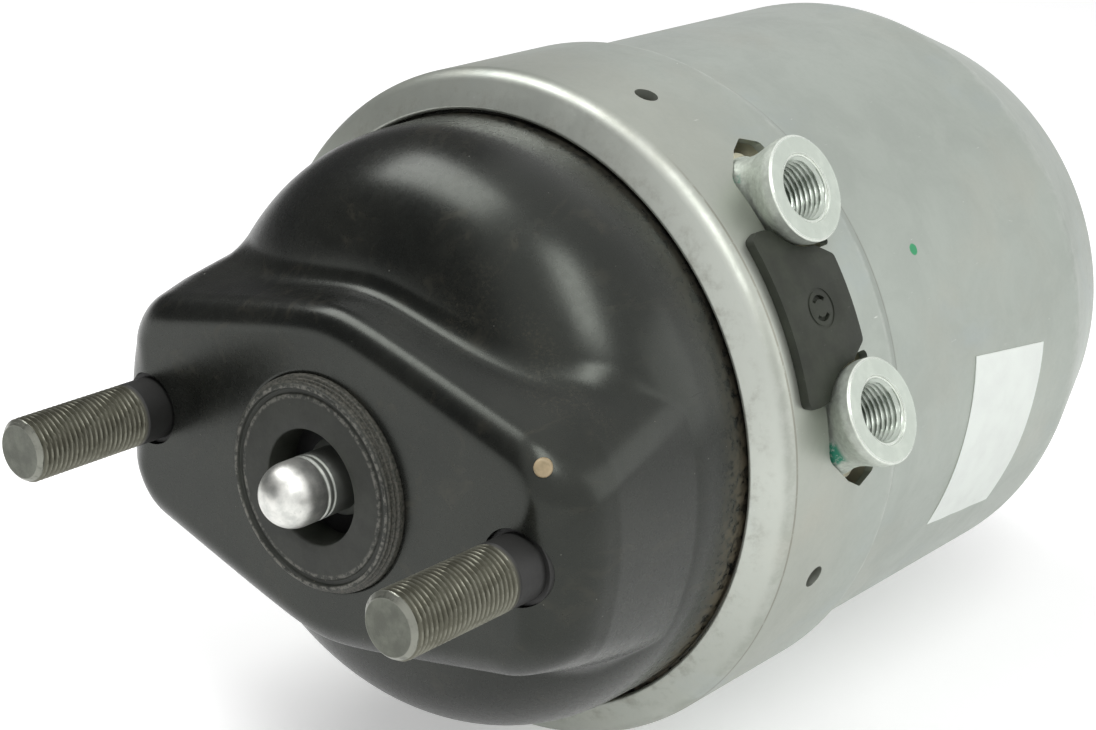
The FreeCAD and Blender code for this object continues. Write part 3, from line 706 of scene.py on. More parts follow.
# Whether the triangles of closed shells enclose less than nothing, and so point inwards.
def inwards(points, triangles):
    a, b, c = (points[triangles[:, i]] for i in range(3))
    return np.einsum("ij,ij->i", a, np.cross(b, c)).sum() < 0


# Turns the faces of a piece outwards.
def outward(piece):
    mesh = piece.data
    mesh.calc_loop_triangles()
    points = np.empty(len(mesh.vertices) * 3)
    mesh.vertices.foreach_get("co", points)
    corners = np.empty(len(mesh.loop_triangles) * 3, dtype=int)
    mesh.loop_triangles.foreach_get("vertices", corners)
    if inwards(points.reshape(-1, 3), corners.reshape(-1, 3)):
        mesh.flip_normals()
    return piece


# A rectangle between two radii and two places along the axis, to be turned.
def boxLine(inner, outer, low, high):
    return np.array([(inner, low), (outer, low), (outer, high), (inner, high)], float)


# Cuts a closed mesh with each of the tools, and clears them away.
def cutWith(piece, tools, smooth, operation="DIFFERENCE"):
    for tool in tools:
        change = piece.modifiers.new("cut", "BOOLEAN")
        change.operation = operation
        change.solver = "MANIFOLD"
        change.object = tool
        piece.data = changedMesh(piece)
        piece.modifiers.clear()
        bpy.data.objects.remove(tool)
    softShade(piece.data, smooth)


# Carries points from the Y axis onto the direction of the ports.
def alongPort(points):
    matrix = np.stack([portSide, portOut, np.array([0.0, 1.0, 0.0])])
    return points @ matrix


# Housing: one smooth pressed sheet, found along rays from a point inside it


housingSize = {
    "faceHalfHeight": 45.0,
    "faceSlope": 0.277,
    "apexSoftness": 9.0,
    "flankRise": 0.06,
    "flankFlattening": 0.0034,
    "earRadius": 74.4,
    "earDraft": 0.141,
    "earLimit": 76.8,
    "earRounding": 11.0,
    "endRounding": 13.5,
    "faceRounding": 6.0,
    "valleyRounding": 4.0,
    "floorDepth": 17.0,
    "domeRounding": 34.0,
    "domeDraft": 0.02,
    "rimRadius": 77.6,
    "rimDepth": 62.0,
    "sheet": 3.0,
    "rodHole": 19.5,
    "recessRadius": 26.95,
    "recessDepth": 1.2,
    "flangeEdge": 83.2,
    "lipRadius": 78.5,
    "lipDepth": 62.4,
    "lipSlope": 0.485,
    "lipSheet": 2.3,
    "studHole": 9.3,
    "studReach": (-3.0, 6.0),
    "endBlend": 20.0,
    "flankBlend": 14.0,
    "gap": 0.05,
    "outerEnd": 78.4,
    "innerEnd": 75.6,
    "innerLift": 3.34,
    "flangeStart": 78.6,
    "flangeBack": 75.8,
    "insideDepth": 45.0,
    "rays": (8.0, 140.0),
    "halvings": 28,
    "around": 400,
    "outerSteps": 165,
    "innerSteps": 44,
}
plugSize = {
    "place": (64.3, 2.7, 24.8),
    "direction": (0.56, -0.80, 0.22),
    "radius": 2.15,
    "foot": -5.4,
    "stand": 0.5,
    "around": 48,
}


def roundMax(a, b, rounding):
    outside = np.hypot(np.maximum(a + rounding, 0), np.maximum(b + rounding, 0))
    return np.minimum(np.maximum(a, b), -rounding) + outside


def roundMin(a, b, rounding):
    return -roundMax(-a, -b, rounding)


def smoothStep(value):
    share = np.clip(value, 0, 1)
    return share * share * (3 - 2 * share)


# Distance, nearly, of points (x, y, z) from the outside of the pressed pan: below 0 inside.
def panField(x, y, z):
    size = housingSize
    radius = np.hypot(x, z)
    wall = radius - size["rimRadius"] - size["domeDraft"] * (y - size["rimDepth"])
    wall = wall * math.cos(math.atan(size["domeDraft"]))
    dome = roundMax(size["floorDepth"] - y, wall, size["domeRounding"])
    drum = radius - np.minimum(size["earRadius"] + size["earDraft"] * y, size["earLimit"])
    slope = size["faceSlope"] - size["flankFlattening"] * y
    apex = size["faceHalfHeight"] + size["flankRise"] * y
    reach = np.sqrt(x * x + size["apexSoftness"] ** 2)
    flank = (np.abs(z) - apex + slope * reach) / np.sqrt(1 + slope**2 + size["flankRise"] ** 2)
    side = roundMax(drum, flank, size["earRounding"])
    # the ears' ends are rounder than the flanks' edge of the face
    atEnd = smoothStep(0.5 + (drum - flank) / size["endBlend"])
    ears = roundMax(-y, side, size["faceRounding"] + (size["endRounding"] - size["faceRounding"]) * atEnd)
    # the valley between ears and dome is rounded only where the flanks leave the dome
    atFlank = smoothStep(0.35 + (flank - drum) / size["flankBlend"])
    return roundMin(dome, ears, size["valleyRounding"] * atFlank + 0.01)


# Points of the pan's surface, moved in by inset, on rays at angles from the front for each turn.
def panSurface(angles, turns, inset):
    size = housingSize
    tilt, turn = np.meshgrid(angles, turns, indexing="ij")
    direction = np.stack([np.sin(tilt) * np.cos(turn), -np.cos(tilt), np.sin(tilt) * np.sin(turn)], axis=-1)
    centre = np.array([0, size["insideDepth"], 0])
    near, far = (np.full(tilt.shape, reach) for reach in size["rays"])
    for _ in range(size["halvings"]):
        middle = (near + far) / 2
        spot = centre + direction * middle[..., None]
        inside = panField(spot[..., 0], spot[..., 1], spot[..., 2]) + inset < 0
        near = np.where(inside, middle, near)
        far = np.where(inside, far, middle)
    return centre + direction * near[..., None]


# Front of the pan's flange, which lies behind the sloping lip of the can.
def flangeFront(radius):
    size = housingSize
    lean = math.hypot(1, size["lipSlope"])
    slope = size["lipDepth"] + size["lipSlope"] * (radius - size["lipRadius"])
    return slope + size["lipSheet"] * lean + size["gap"]


# Angle of a point on the pan's rim, seen from inside the pan, from the front.
def rimAngle(radius, lift=0.0):
    return math.pi - math.atan2(radius, flangeFront(radius) + lift - housingSize["insideDepth"])


def makeHousing():
    size = housingSize
    around = size["around"]
    turns = np.arange(around) * fullTurn / around
    inside = size["insideDepth"]
    startAngle = math.atan2(size["recessRadius"], inside)
    outer = panSurface(np.linspace(startAngle, rimAngle(size["outerEnd"]), size["outerSteps"]), turns, 0.0)
    endAngle = rimAngle(size["innerEnd"], size["innerLift"])
    holeAngle = math.atan2(size["rodHole"], inside - size["sheet"])
    inner = panSurface(np.linspace(endAngle, holeAngle, size["innerSteps"]), turns, size["sheet"])
    back = size["sheet"] * math.hypot(1, size["lipSlope"])
    edge = size["flangeEdge"]
    flange = [
        (size["flangeStart"], flangeFront(size["flangeStart"])),
        (edge, flangeFront(edge), 0.9),
        (edge, flangeFront(edge) + back, 0.4),
        (size["flangeBack"], flangeFront(size["flangeBack"]) + back),
    ]
    recess = [
        (size["rodHole"], size["recessDepth"] + 0.1),
        (size["rodHole"] + 0.1, size["recessDepth"]),
        (size["recessRadius"] - 0.05, size["recessDepth"]),
        (size["recessRadius"], size["recessDepth"] - 0.1),
        (size["recessRadius"], 0.25),
    ]
    front, rim = (latheGrid(bentLine(line, closed=False), around) for line in (recess, flange))
    shape = (-1, around, 3)
    rings = np.concatenate([front.reshape(shape), outer[1:], rim.reshape(shape), inner])
    faces = gridFaces(len(rings), around, True)
    piece = outward(makeMesh("housing", rings.reshape(-1, 3), faces, finishes["housing"]))
    cutters = []
    hole = boxLine(0, size["studHole"], *size["studReach"])
    for side in (-1, 1):
        shift = np.array([side * studFinish["spacing"] / 2, 0, 0])
        cutters.append(lathe("studHole", hole, 96, finishes["housing"], move=lambda p, s=shift: p + s))
    plugHole = plugProfile(size["gap"], 12.0)
    cutters.append(lathe("plugHole", plugHole, plugSize["around"], finishes["housing"], move=toPlug))
    cutWith(piece, cutters, 28)
    dress(piece, "front_housing")


# The plug's line, or with extra radius the line of its hole.
def plugProfile(extra, stand):
    radius = plugSize["radius"] + extra
    foot = plugSize["foot"]
    rounding = 0 if extra else 0.7
    return bentLine([(0, foot), (radius, foot), (radius, stand, rounding), (0, stand)], closed=False)


def turnOnto(direction):
    return np.array(Vector((0, 1, 0)).rotation_difference(Vector(direction).normalized()).to_matrix())


# Carries points from the Y axis onto the plug's own axis.
def toPlug(points):
    return points @ turnOnto(plugSize["direction"]).T + np.array(plugSize["place"])


def makePlug():
    profile = plugProfile(0.0, plugSize["stand"])
    piece = lathe("drainPlug", profile, plugSize["around"], finishes["plug"], move=toPlug)
    dress(piece, "drain_plug")


makeHousing()
makePlug()
print("housing made")


# Can: one turned shell with windows and vent holes


canSize = {
    "sheet": 2.3,
    "lipRadius": 78.5,
    "lipDepth": 62.4,
    "lipSlope": 0.485,
    "band": 88.3,
    "bandBend": 5.0,
    "stepStart": 113.0,
    "stepEnd": 119.0,
    "barrel": 85.5,
    "coneStart": 214.0,
    "coneSlope": 0.367,
    "end": 248.5,
    "rearBend": 5.0,
    "nutHole": 17.05,
    "vents": 4,
    "ventTurn": 45.0,
    "ventRadius": 3.0,
    "ventDepth": 86.0,
    "ventReach": (-14.0, 6.0),
    "around": 480,
    "windowReach": (66, 96),
    "window": [
        (13.5, 82.5, 1.5), (35.5, 83.0, 4.0), (42.4, 92.0, 4.0), (45.0, 97.5, 1.2), (42.6, 103.0, 1.2),
        (13.5, 103.0, 1.5),
    ],
}


# The can's line from the lip to the rear hole, moved in by inset.
def canLine(inset):
    size = canSize
    lean = math.hypot(1, size["lipSlope"])
    coneLean = math.hypot(1, size["coneSlope"])
    band = size["band"] - inset
    barrel = size["barrel"] - inset
    end = size["end"] - inset
    start = size["lipDepth"] + inset * lean
    foot = start + size["lipSlope"] * (band - size["lipRadius"])
    bend = size["coneStart"] - inset * (coneLean - 1) / size["coneSlope"]
    cone = size["barrel"] - size["coneSlope"] * (end - size["coneStart"]) - inset * coneLean
    return [
        (size["lipRadius"], start, 0.8),
        (band, foot, size["bandBend"] - inset),
        (band, size["stepStart"], 3.0),
        (barrel, size["stepEnd"], 3.0),
        (barrel, bend, 12.0),
        (cone, end, size["rearBend"] - inset / 2),
        (size["nutHole"], end),
    ]


# A closed prism from corners (along portSide, y) between two heights of the port's direction.
def portPrism(name, corners, low, high, material):
    outline = bentLine(corners)
    count = len(outline)
    rings = [np.column_stack([outline[:, 0], np.full(count, h), outline[:, 1]]) for h in (low, high)]
    return outward(makeMesh(name, alongPort(np.vstack(rings)), cappedFaces(2, count), material))


# Faces of a tube of rows x columns with both its ends closed.
def cappedFaces(rows, columns):
    ends = [tuple(range(columns - 1, -1, -1)), tuple(range((rows - 1) * columns, rows * columns))]
    return gridFaces(rows, columns, False) + ends


def makeCan():
    size = canSize
    profile = bentLine(canLine(0) + canLine(size["sheet"])[::-1], perArc=12)
    piece = lathe("outerCan", profile, size["around"], finishes["can"])
    cutters = []
    for side in (-1, 1):
        corners = [(side * t, y, r) for t, y, r in size["window"]]
        cutters.append(portPrism("window", corners, *size["windowReach"], finishes["can"]))
    hole = boxLine(0, size["ventRadius"], *size["ventReach"])
    first = math.atan2(portOut[2], portOut[0]) + math.radians(size["ventTurn"])
    for k in range(size["vents"]):
        turn = first + fullTurn * k / size["vents"]
        outwards = np.array([math.cos(turn), 0, math.sin(turn)])
        start = outwards * size["band"] + np.array([0, size["ventDepth"], 0])
        place = lambda p, s=turnOnto(outwards), o=start: p @ s.T + o
        cutters.append(lathe("vent", hole, 40, finishes["can"], move=place))
    cutWith(piece, cutters, 30)
    dress(piece, "outer_can")


makeCan()
print("can made")


# Threads, for the studs and the ports: one Geometry Nodes tree each way


threadSize = {
    "pitch": 1.5,
    "depth": 0.92,
    "flank": 2.5,
    "flat": 0.15,
    "around": 96,
    "perPitch": 8,
    "weld": 0.0005,
}


# A threaded surface round the Y axis. As a stud it closes on the axis, as a sleeve round its outer wall.
def threadTree(name, sleeve):
    tree = bpy.data.node_groups.new(name, "GeometryNodeTree")
    kinds = {label: "Float" for label in ("Crest", "Start", "Length", "Mouth", "Wall")}
    for label, kind in {**kinds, "Rows": "Int", "Finish": "Material"}.items():
        tree.interface.new_socket(label, in_out="INPUT", socket_type=f"NodeSocket{kind}")
    tree.interface.new_socket("Geometry", in_out="OUTPUT", socket_type="NodeSocketGeometry")
    board = Board(tree)
    given = board.node("NodeGroupInput")
    crest, start, length, mouth, wall, rows = (board.beside(given, label) for label in (*kinds, "Rows"))
    size = {"Size X": 1.0, "Size Y": 1.0, "Vertices X": threadSize["around"] + 1, "Vertices Y": rows}
    grid = board.node("GeometryNodeMeshGrid", None, size)
    x, y = board.axes(board.node("GeometryNodeInputPosition"))[:2]
    angle = (x + 0.5) * fullTurn
    row = board.node("ShaderNodeMath", {"operation": "ROUND"}, {0: (y + 0.5) * (rows - 1)})
    last = rows - 1
    body = rows - (4 if sleeve else 3)
    share = ((row - 1) / body).larger(0.0).smaller(1.0)
    depth = share * length
    # whole turns added, so that the fraction is taken of a positive number
    wave = (depth / threadSize["pitch"] - angle / fullTurn + 40.0).fraction()
    tooth = ((wave - 0.5).absolute() * threadSize["flank"] - threadSize["flat"]).larger(0.0).smaller(1.0)
    if sleeve:
        # the mouth widens, the crests point inwards
        cut = crest + tooth * threadSize["depth"]
        cut = cut.larger(mouth - depth).smaller(wall)
        radius = cut + (wall - cut) * ((row < 0.5) + (row > last - 1.5)).smaller(1.0)
        along = depth * (row < last - 0.5)
    else:
        cut = crest - tooth * threadSize["depth"]
        cut = cut.smaller(mouth + depth)
        radius = cut * (row > 0.5) * (row < last - 0.5)
        along = depth
    place = {0: radius * angle.cosine(), 1: start + along, 2: radius * angle.sine()}
    placed = board.node("ShaderNodeCombineXYZ", None, place)
    moved = board.node("GeometryNodeSetPosition", None, {"Geometry": grid, "Position": placed})
    weld = {"Geometry": moved, "Distance": threadSize["weld"]}
    joined = board.node("GeometryNodeMergeByDistance", None, weld)
    finish = {"Geometry": joined, "Material": board.beside(given, "Finish")}
    board.node("NodeGroupOutput", None, {"Geometry": board.node("GeometryNodeSetMaterial", None, finish)})
    return tree


# Runs a tree once with the given inputs and returns the plain mesh's points and faces, in millimetres.
def grown(tree, values):
    holder = show("grown", bpy.data.meshes.new("grown"))
    change = holder.modifiers.new("grow", "NODES")
    change.node_group = tree
    for item in tree.interface.items_tree:
        if item.in_out == "INPUT" and item.name in values:
            change[item.identifier] = values[item.name]
    mesh = changedMesh(holder)
    bpy.data.objects.remove(holder)
    return meshParts(mesh, 1.0)


def meshParts(mesh, unit):
    points = np.empty(len(mesh.vertices) * 3)
    mesh.vertices.foreach_get("co", points)
    return points.reshape(-1, 3) / unit, [tuple(polygon.vertices) for polygon in mesh.polygons]


# Faces of one closed shell, turned outwards.
def outwardFaces(points, faces):
    fans = np.array([(face[0], face[i], face[i + 1]) for face in faces for i in range(1, len(face) - 1)])
    return [face[::-1] for face in faces] if inwards(points, fans) else faces


# Several closed shells, as point and face lists, as one.
def together(parts):
    points = []
    faces = []
    for partPoints, partFaces in parts:
        base = sum(len(p) for p in points)
        points.append(partPoints)
        for face in outwardFaces(partPoints, partFaces):
            faces.append(tuple(base + i for i in face))
    return np.vstack(points), faces


def latheParts(profile, segments, move):
    piece = lathe("part", profile, segments, finishes["stud"], move=move)
    parts = meshParts(piece.data, mm)
    bpy.data.objects.remove(piece)
    return parts


def threadRows(length):
    return round(length / threadSize["pitch"] * threadSize["perPitch"])


def makeStuds():
    look = studFinish
    radius = look["radius"]
    end = look["threadEnd"]
    length = end + look["length"]
    values = {
        "Crest": radius,
        "Start": -look["length"],
        "Length": length,
        "Mouth": look["tipRadius"],
        "Rows": threadRows(length),
        "Finish": finishes["stud"],
    }
    threadPoints, threadFaces = grown(threadTree("studThread", False), values)
    # plain shank, a collar that fills the hole of the ear, and the head behind it
    shank = [
        (0, end - 0.6),
        (radius - 0.9, end - 0.6),
        (radius, end + 0.4, 0.3),
        (radius, 1.4),
        (9.25, 1.4, 0.2), (9.25, 2.95), (7.5, 2.95), (7.5, 8.9, 0.4), (0, 8.9),
    ]
    parts = []
    for side in (-1, 1):
        shift = np.array([side * look["spacing"] / 2, 0, 0])
        parts.append((threadPoints + shift, threadFaces))
        parts.append(latheParts(bentLine(shank, closed=False), 96, lambda p, s=shift: p + s))
    points, faces = together(parts)
    dress(makeMesh("studs", points, faces, finishes["stud"], 40), "mounting_studs")


makeStuds()
print("studs made")


# Ports: cast bodies that grow from an oblong foot to a round face, with a threaded sleeve


portSize = {
    "threadLength": 14.0,
    "threadCrest": 7.15,
    "threadWall": 8.3,
    "mouth": 8.6,
    "bore": 4.5,
    "spigot": 8.8,
    "spigotEnd": 54.0,
    "around": 144,
    "stepHeight": 0.8,
    # height, half length, half width and how square the outline is
    "levels": [
        (73.05, 12.2, 8.7, 3.4), (73.4, 12.5, 9.0, 3.4), (76.6, 12.5, 9.0, 3.4),
        (77.0, 12.1, 8.8, 3.0), (80.0, 11.6, 8.8, 2.6), (83.0, 11.5, 8.9, 2.5), (85.5, 11.9, 9.9, 2.3),
        (88.0, 12.6, 11.6, 2.1), (89.8, 13.0, 12.8, 2.0), (90.5, 13.2, 13.2, 2.0),
        (93.0, 13.2, 13.2, 2.0), (93.5, 12.7, 12.7, 2.0),
    ],
}


# A threaded sleeve from the mouth of a port down, as points and faces.
def makeSleeve():
    size = portSize
    values = {
        "Crest": size["threadCrest"],
        "Start": 0.0,
        "Length": size["threadLength"] - 0.6,
        "Mouth": size["mouth"] - 0.7,
        "Wall": size["threadWall"] + 0.15,
        "Rows": threadRows(size["threadLength"]),
        "Finish": finishes["port"],
    }
    points, faces = grown(threadTree("portThread", True), values)
    return points * np.array([1, -1, 1]) + np.array([0, portLayout["face"] - 0.55, 0]), faces


def makeBody():
    size = portSize
    turns = np.arange(size["around"]) * fullTurn / size["around"]
    cosine = np.cos(turns)
    sine = np.sin(turns)
    face = portLayout["face"]
    end = size["spigotEnd"]
    spigot = size["spigot"]
    levels = np.array(size["levels"])
    rings = [(end, size["bore"]), (end, spigot - 0.5), (end + 0.5, spigot), (levels[0][0], spigot)]
    for low, high in zip(levels, levels[1:]):
        steps = max(1, round((high[0] - low[0]) / size["stepHeight"]))
        rings += [low + (high - low) * k / steps for k in range(steps)]
    rings += [
        levels[-1],
        (face, 11.6),
        (face, 10.2),
        (face, size["mouth"] + 0.15),
        (face - 0.1, size["mouth"]),
        (face - 1.0, size["threadWall"]),
        (face - size["threadLength"], size["threadWall"]),
        (face - size["threadLength"] - 1.5, size["bore"]),
    ]
    points = []
    for ring in rings:
        height, long, wide, power = ring if len(ring) == 4 else (*ring, ring[1], 2)
        radius = (np.abs(cosine / long) ** power + np.abs(sine / wide) ** power) ** (-1 / power)
        points.append(np.column_stack([radius * cosine, np.full(len(turns), height), radius * sine]))
    return np.vstack(points), gridFaces(len(rings), size["around"], True)


portPoints, portFaces = together([makeBody(), makeSleeve()])
for name, side, node in (("servicePort", 1, "service_port"), ("springPort", -1, "spring_port")):
    points = alongPort(portPoints) + portPoint(side, 0.0)
    piece = outward(makeMesh(name, points, portFaces, finishes["port"], 32))
    dress(piece, node)
print("ports made")


# Plate between the ports, bent round the can, with a round mark and two small slots


plateSize = {
    "under": 88.35,
    "thick": 2.4,
    "clear": 13.4,
    "outline": [
        (-20.6, 72.9, 2.0), (20.6, 72.9, 2.0), (22.0, 77.0, 3.0), (21.4, 83.0, 2.0), (12.6, 96.8, 3.0),
        (11.0, 99.3, 1.5), (-11.0, 99.3, 1.5), (-12.6, 96.8, 3.0), (-21.4, 83.0, 2.0),
        (-22.0, 77.0, 3.0),
    ],
    "reach": (78, 100),
    "along": (60, 110),
    "hole": (70.0, 99.0),
    "markDepth": 86.5,
    "markRadius": (4.3, 5.0),
    "markReach": (90.45, 92),
    "slotRadius": (2.15, 3.25),
    "slotTurns": (40, 140),
    "slotReach": (89.6, 94),
    "edge": 0.45,
}


def makePlate():
    size = plateSize
    finish = finishes["plate"]
    outline = [tuple(p) for p in bentLine(size["outline"], perArc=5)]
    piece = portPrism("portPlate", outline, *size["reach"], finish)
    low = size["under"]
    tube = boxLine(low, low + size["thick"], *size["along"])
    cutWith(piece, [lathe("keep", tube, 720, finish)], 32, "INTERSECT")
    hole = boxLine(0, size["clear"], *size["hole"])
    cutters = []
    for side in (-1, 1):
        shift = portPoint(side, 0.0)
        cutters.append(lathe("clear", hole, 96, finish, move=lambda p, s=shift: alongPort(p) + s))
    top = np.array([0, size["markDepth"], 0])
    ring = boxLine(*size["markRadius"], *size["markReach"])
    cutters.append(lathe("mark", ring, 72, finish, move=lambda p: alongPort(p) + top))
    cutWith(piece, cutters + [arcSlot(-1), arcSlot(1)], 32)
    change = piece.modifiers.new("edge", "BEVEL")
    change.width = size["edge"] * mm
    change.segments = 2
    change.limit_method = "ANGLE"
    change.angle_limit = math.radians(50)
    piece.data = changedMesh(piece)
    piece.modifiers.clear()
    softShade(piece.data, 40)
    dress(piece, "port_retainer")


# One of the two curved slots of the round mark.
def arcSlot(side):
    size = plateSize
    inner, outer = size["slotRadius"]
    turns = np.radians(np.linspace(*size["slotTurns"], 9))
    corners = [(outer, turn) for turn in turns] + [(inner, turn) for turn in turns[::-1]]
    placed = [(side * math.sin(turn) * r, size["markDepth"] + math.cos(turn) * r) for r, turn in corners]
    return portPrism("slot", placed, *size["slotReach"], finishes["plate"])


makePlate()
print("plate made")


# Face seal and push rod


sealProfile = [
    (14.15, 6.0, 0.4), (14.15, -3.3, 0.5), (16.5, -3.45, 0.8), (22.7, -3.5, 0.4), (23.0, -3.0, 0.25),
    (24.0, -3.0, 0.25), (24.3, -3.95, 0.35), (25.3, -3.95, 0.4), (25.35, -3.5, 0.1),
    (25.85, -3.3, 0.2), (25.85, -2.9, 0.2), (25.5, -2.7, 0.1), (25.55, -2.3, 0.1), (26.25, -2.1, 0.2),
    (26.25, -1.7, 0.2), (25.9, -1.5, 0.1), (26.85, -1.25, 0.3), (26.85, 1.15), (19.45, 1.15),
    (19.45, 3.05), (21.5, 3.05, 0.4), (21.5, 6.0, 0.5),
]

rodProfile = [
    (8.0, -9.2), (8.0, -5.6, 0.2), (7.65, -5.3, 0.1), (7.65, -4.8, 0.1), (8.0, -4.5, 0.2),
    (8.0, -3.7, 0.2), (7.65, -3.4, 0.1), (7.65, -2.9, 0.1), (7.95, -2.6, 0.2), (7.95, 5.0, 0.2),
    (9.6, 6.0, 0.4), (9.6, 67.0, 1.0), (14.0, 71.5, 0.6), (14.0, 72.95, 0.2), (5.0, 72.95),
    (5.0, 75.0), (0, 75.0),
]


def makeSeal():
    piece = lathe("faceSeal", bentLine(sealProfile, perArc=4), 256, finishes["seal"])
    dress(piece, "seal_ring")


def makeRod():
    radius, centre = rodProfile[0]
    turns = np.linspace(0, math.pi / 2, 24)[:-1]
    ball = [(radius * math.sin(turn), centre - radius * math.cos(turn)) for turn in turns]
    profile = np.vstack([ball, bentLine(rodProfile, closed=False, perArc=4)])
    dress(lathe("pushRod", profile, 128, finishes["rod"]), "push_rod", "push_rod")


makeSeal()
makeRod()
print("seal and rod made")


# Paper label laid round the can


labelSize = {
    "centre": 172.0,
    "width": 36.4,
    "height": 49.3,
    "angle": -6.6,
    "tilt": -7.5,
    "radius": 85.53,
    "thick": 0.14,
    "ripple": 0.05,
    "rows": 26,
    "columns": 36,
}


def makeLabel():
    size = labelSize
    tilt = math.radians(size["tilt"])
    rows = size["rows"]
    columns = size["columns"]
    points = []
    for lift in (0.0, size["thick"]):
        for i in range(rows + 1):
            for j in range(columns + 1):
                along = (i / rows - 0.5) * size["width"]
                across = (j / columns - 0.5) * size["height"]
                y = size["centre"] + along * math.cos(tilt) - across * math.sin(tilt)
                arc = along * math.sin(tilt) + across * math.cos(tilt)
                angle = math.radians(size["angle"]) + arc / size["radius"]
                ripple = size["ripple"] * (1 + math.sin(along * 0.5 + across * 0.23)) * (lift > 0)
                radius = size["radius"] + lift + ripple
                points.append(turned(radius, y, angle))
    count = (rows + 1) * (columns + 1)
    faces = []
    for i in range(rows):
        for j in range(columns):
            a = i * (columns + 1) + j
            b = a + columns + 1
            faces.append((a, b, b + 1, a + 1))
            faces.append((count + a, count + a + 1, count + b + 1, count + b))
    border = [(0, j) for j in range(columns)] + [(i, columns) for i in range(rows)]
    border += [(rows, j) for j in range(columns, 0, -1)] + [(i, 0) for i in range(rows, 0, -1)]
    ring = [i * (columns + 1) + j for i, j in border]
    for a, b in zip(ring, ring[1:] + ring[:1]):
        faces.append((a, b, count + b, count + a))
    piece = outward(makeMesh("paperLabel", points, faces, finishes["label"], 40))
    dress(piece, "paper_label")


makeLabel()
print("label made")


# The CAD pieces that keep their own shape


kept = {
    "cast": ("flange_body", "spring_piston"),
    "rubber": ("port_seals", "rod_seals", "flange_o_ring", "piston_seal", "tube_seal"),
    "bush": ("guide_bush", "piston_guide_ring"),
    "tube": ("piston_tube",),
    "zinc": (
        "push_plate",
        "tube_end_cap",
        "tube_collar",
        "release_nut",
        "release_bolt",
        "bolt_end_nut",
        "thrust_washer",
    ),
}
for finishName, nodeNames in kept.items():
    for nodeName in nodeNames:
        mesh = frame["nodes"][nodeName].data
        mesh.materials.clear()
        mesh.materials.append(finishes[finishName])


# Springs and bellows, copied from their CAD meshes: node, name, finish, slot, the body
# at their moving end, and the depths between which they stretch
stretching = (
    ("return_spring", "returnSpring", "springSteel", "spring_steel", "push_rod", 3.0, 73.0),
    ("rod_bellows", "rodBellows", "rubber", "bellows_rubber", "push_rod", 6.0, 66.0),
    ("power_spring", "powerSpring", "springSteel", "spring_steel", "spring_piston", 246.2, 189.0),
)


# A copy of a node's mesh with the points that lie on each other made one.
def mergedCopy(node, name, material):
    source = frame["nodes"][node].data
    places = {}
    merged = []
    for vertex in source.vertices:
        key = tuple(round(c, 7) for c in vertex.co)
        if key not in places:
            places[key] = len(merged)
            merged.append(tuple(c / mm for c in vertex.co))
    index = [places[tuple(round(c, 7) for c in vertex.co)] for vertex in source.vertices]
    faces = [tuple(index[i] for i in polygon.vertices) for polygon in source.polygons]
    return makeMesh(name, merged, [face for face in faces if len(set(face)) == len(face)], material, 40)


for node, name, finishName, slotName, body, start, end in stretching:
    piece = mergedCopy(node, name, finishes[finishName])
    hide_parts(node)
    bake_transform(piece)
print("springs and bellows made")


# Diaphragm: a disc behind the push plate, and a wall in sectors, each one along its own radius


diaphragmSize = {
    "front": 75.55,
    "thick": 3.0,
    "disc": 52.0,
    "rollEnd": 72.2,
    "bend": 74.5,
    "clamp": 76.2,
    "dish": 76.9,
    "edge": 85.5,
    "flangeFace": 75.45,
    "sectors": 16,
    "stepsEach": 6,
    "flatSteps": 14,
}


def makeDiaphragm():
    size = diaphragmSize
    front = size["front"]
    rear = front + size["thick"]
    disc = bentLine([(0, front), (size["disc"], front), (size["disc"], rear), (0, rear)], closed=False)
    piece = lathe("diaphragmDisc", disc, 128, finishes["diaphragm"])
    dress(piece, "diaphragm", "push_rod")
    back = housingSize["sheet"] * math.hypot(1, housingSize["lipSlope"]) + housingSize["gap"]
    flat = np.linspace(size["disc"], size["bend"] - 2, size["flatSteps"])
    corners = [(r, front) for r in flat] + [
        (size["bend"], front, 1.5),
        (size["clamp"], flangeFront(size["clamp"]) + back, 0.8),
        (size["edge"], flangeFront(size["edge"]) + back),
        (size["edge"], size["flangeFace"]),
        (size["dish"], size["flangeFace"]),
        (size["dish"], rear),
    ]
    profile = bentLine(corners + [(r, rear) for r in flat[::-1]])
    radius, y = profile.T
    rows = size["stepsEach"] + 1
    width = fullTurn / size["sectors"]
    for k in range(size["sectors"]):
        middle = width * k
        turns = middle + width * (np.arange(rows) / (rows - 1) - 0.5)
        rings = [np.column_stack(turned(radius, y, turn)) for turn in turns]
        faces = cappedFaces(rows, len(profile))
        wall = makeMesh(f"diaphragmWall{k + 1}", np.vstack(rings), faces, finishes["diaphragm"], 40)
        piece = outward(wall)
        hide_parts("diaphragm")
        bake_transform(piece)


makeDiaphragm()
print("diaphragm made")


# Floor, light and camera


studio = {
    "floor": -88.6,
    "floorHalf": 3.0,
    "paper": ((0.89, 0.89, 0.89), (0.91, 0.91, 0.91)),
    "glow": (0.36, 0.36, 0.36),
    "azimuth": 38.3,
    "elevation": 21.5,
    "roll": 4.05,
    "lens": 76.75,
    "eye": (0.3512, -0.3614, 0.2315),
    "ambient": 0.42,
    "dark": 0.9,
    "darkEnd": (-0.85, -0.50, 0.15),
    "darkEndLimits": (0.42, 0.76),
    "darkSide": (-0.92, 0.10, 0.38),
    "darkSideLimits": (0.64, 0.86),
}
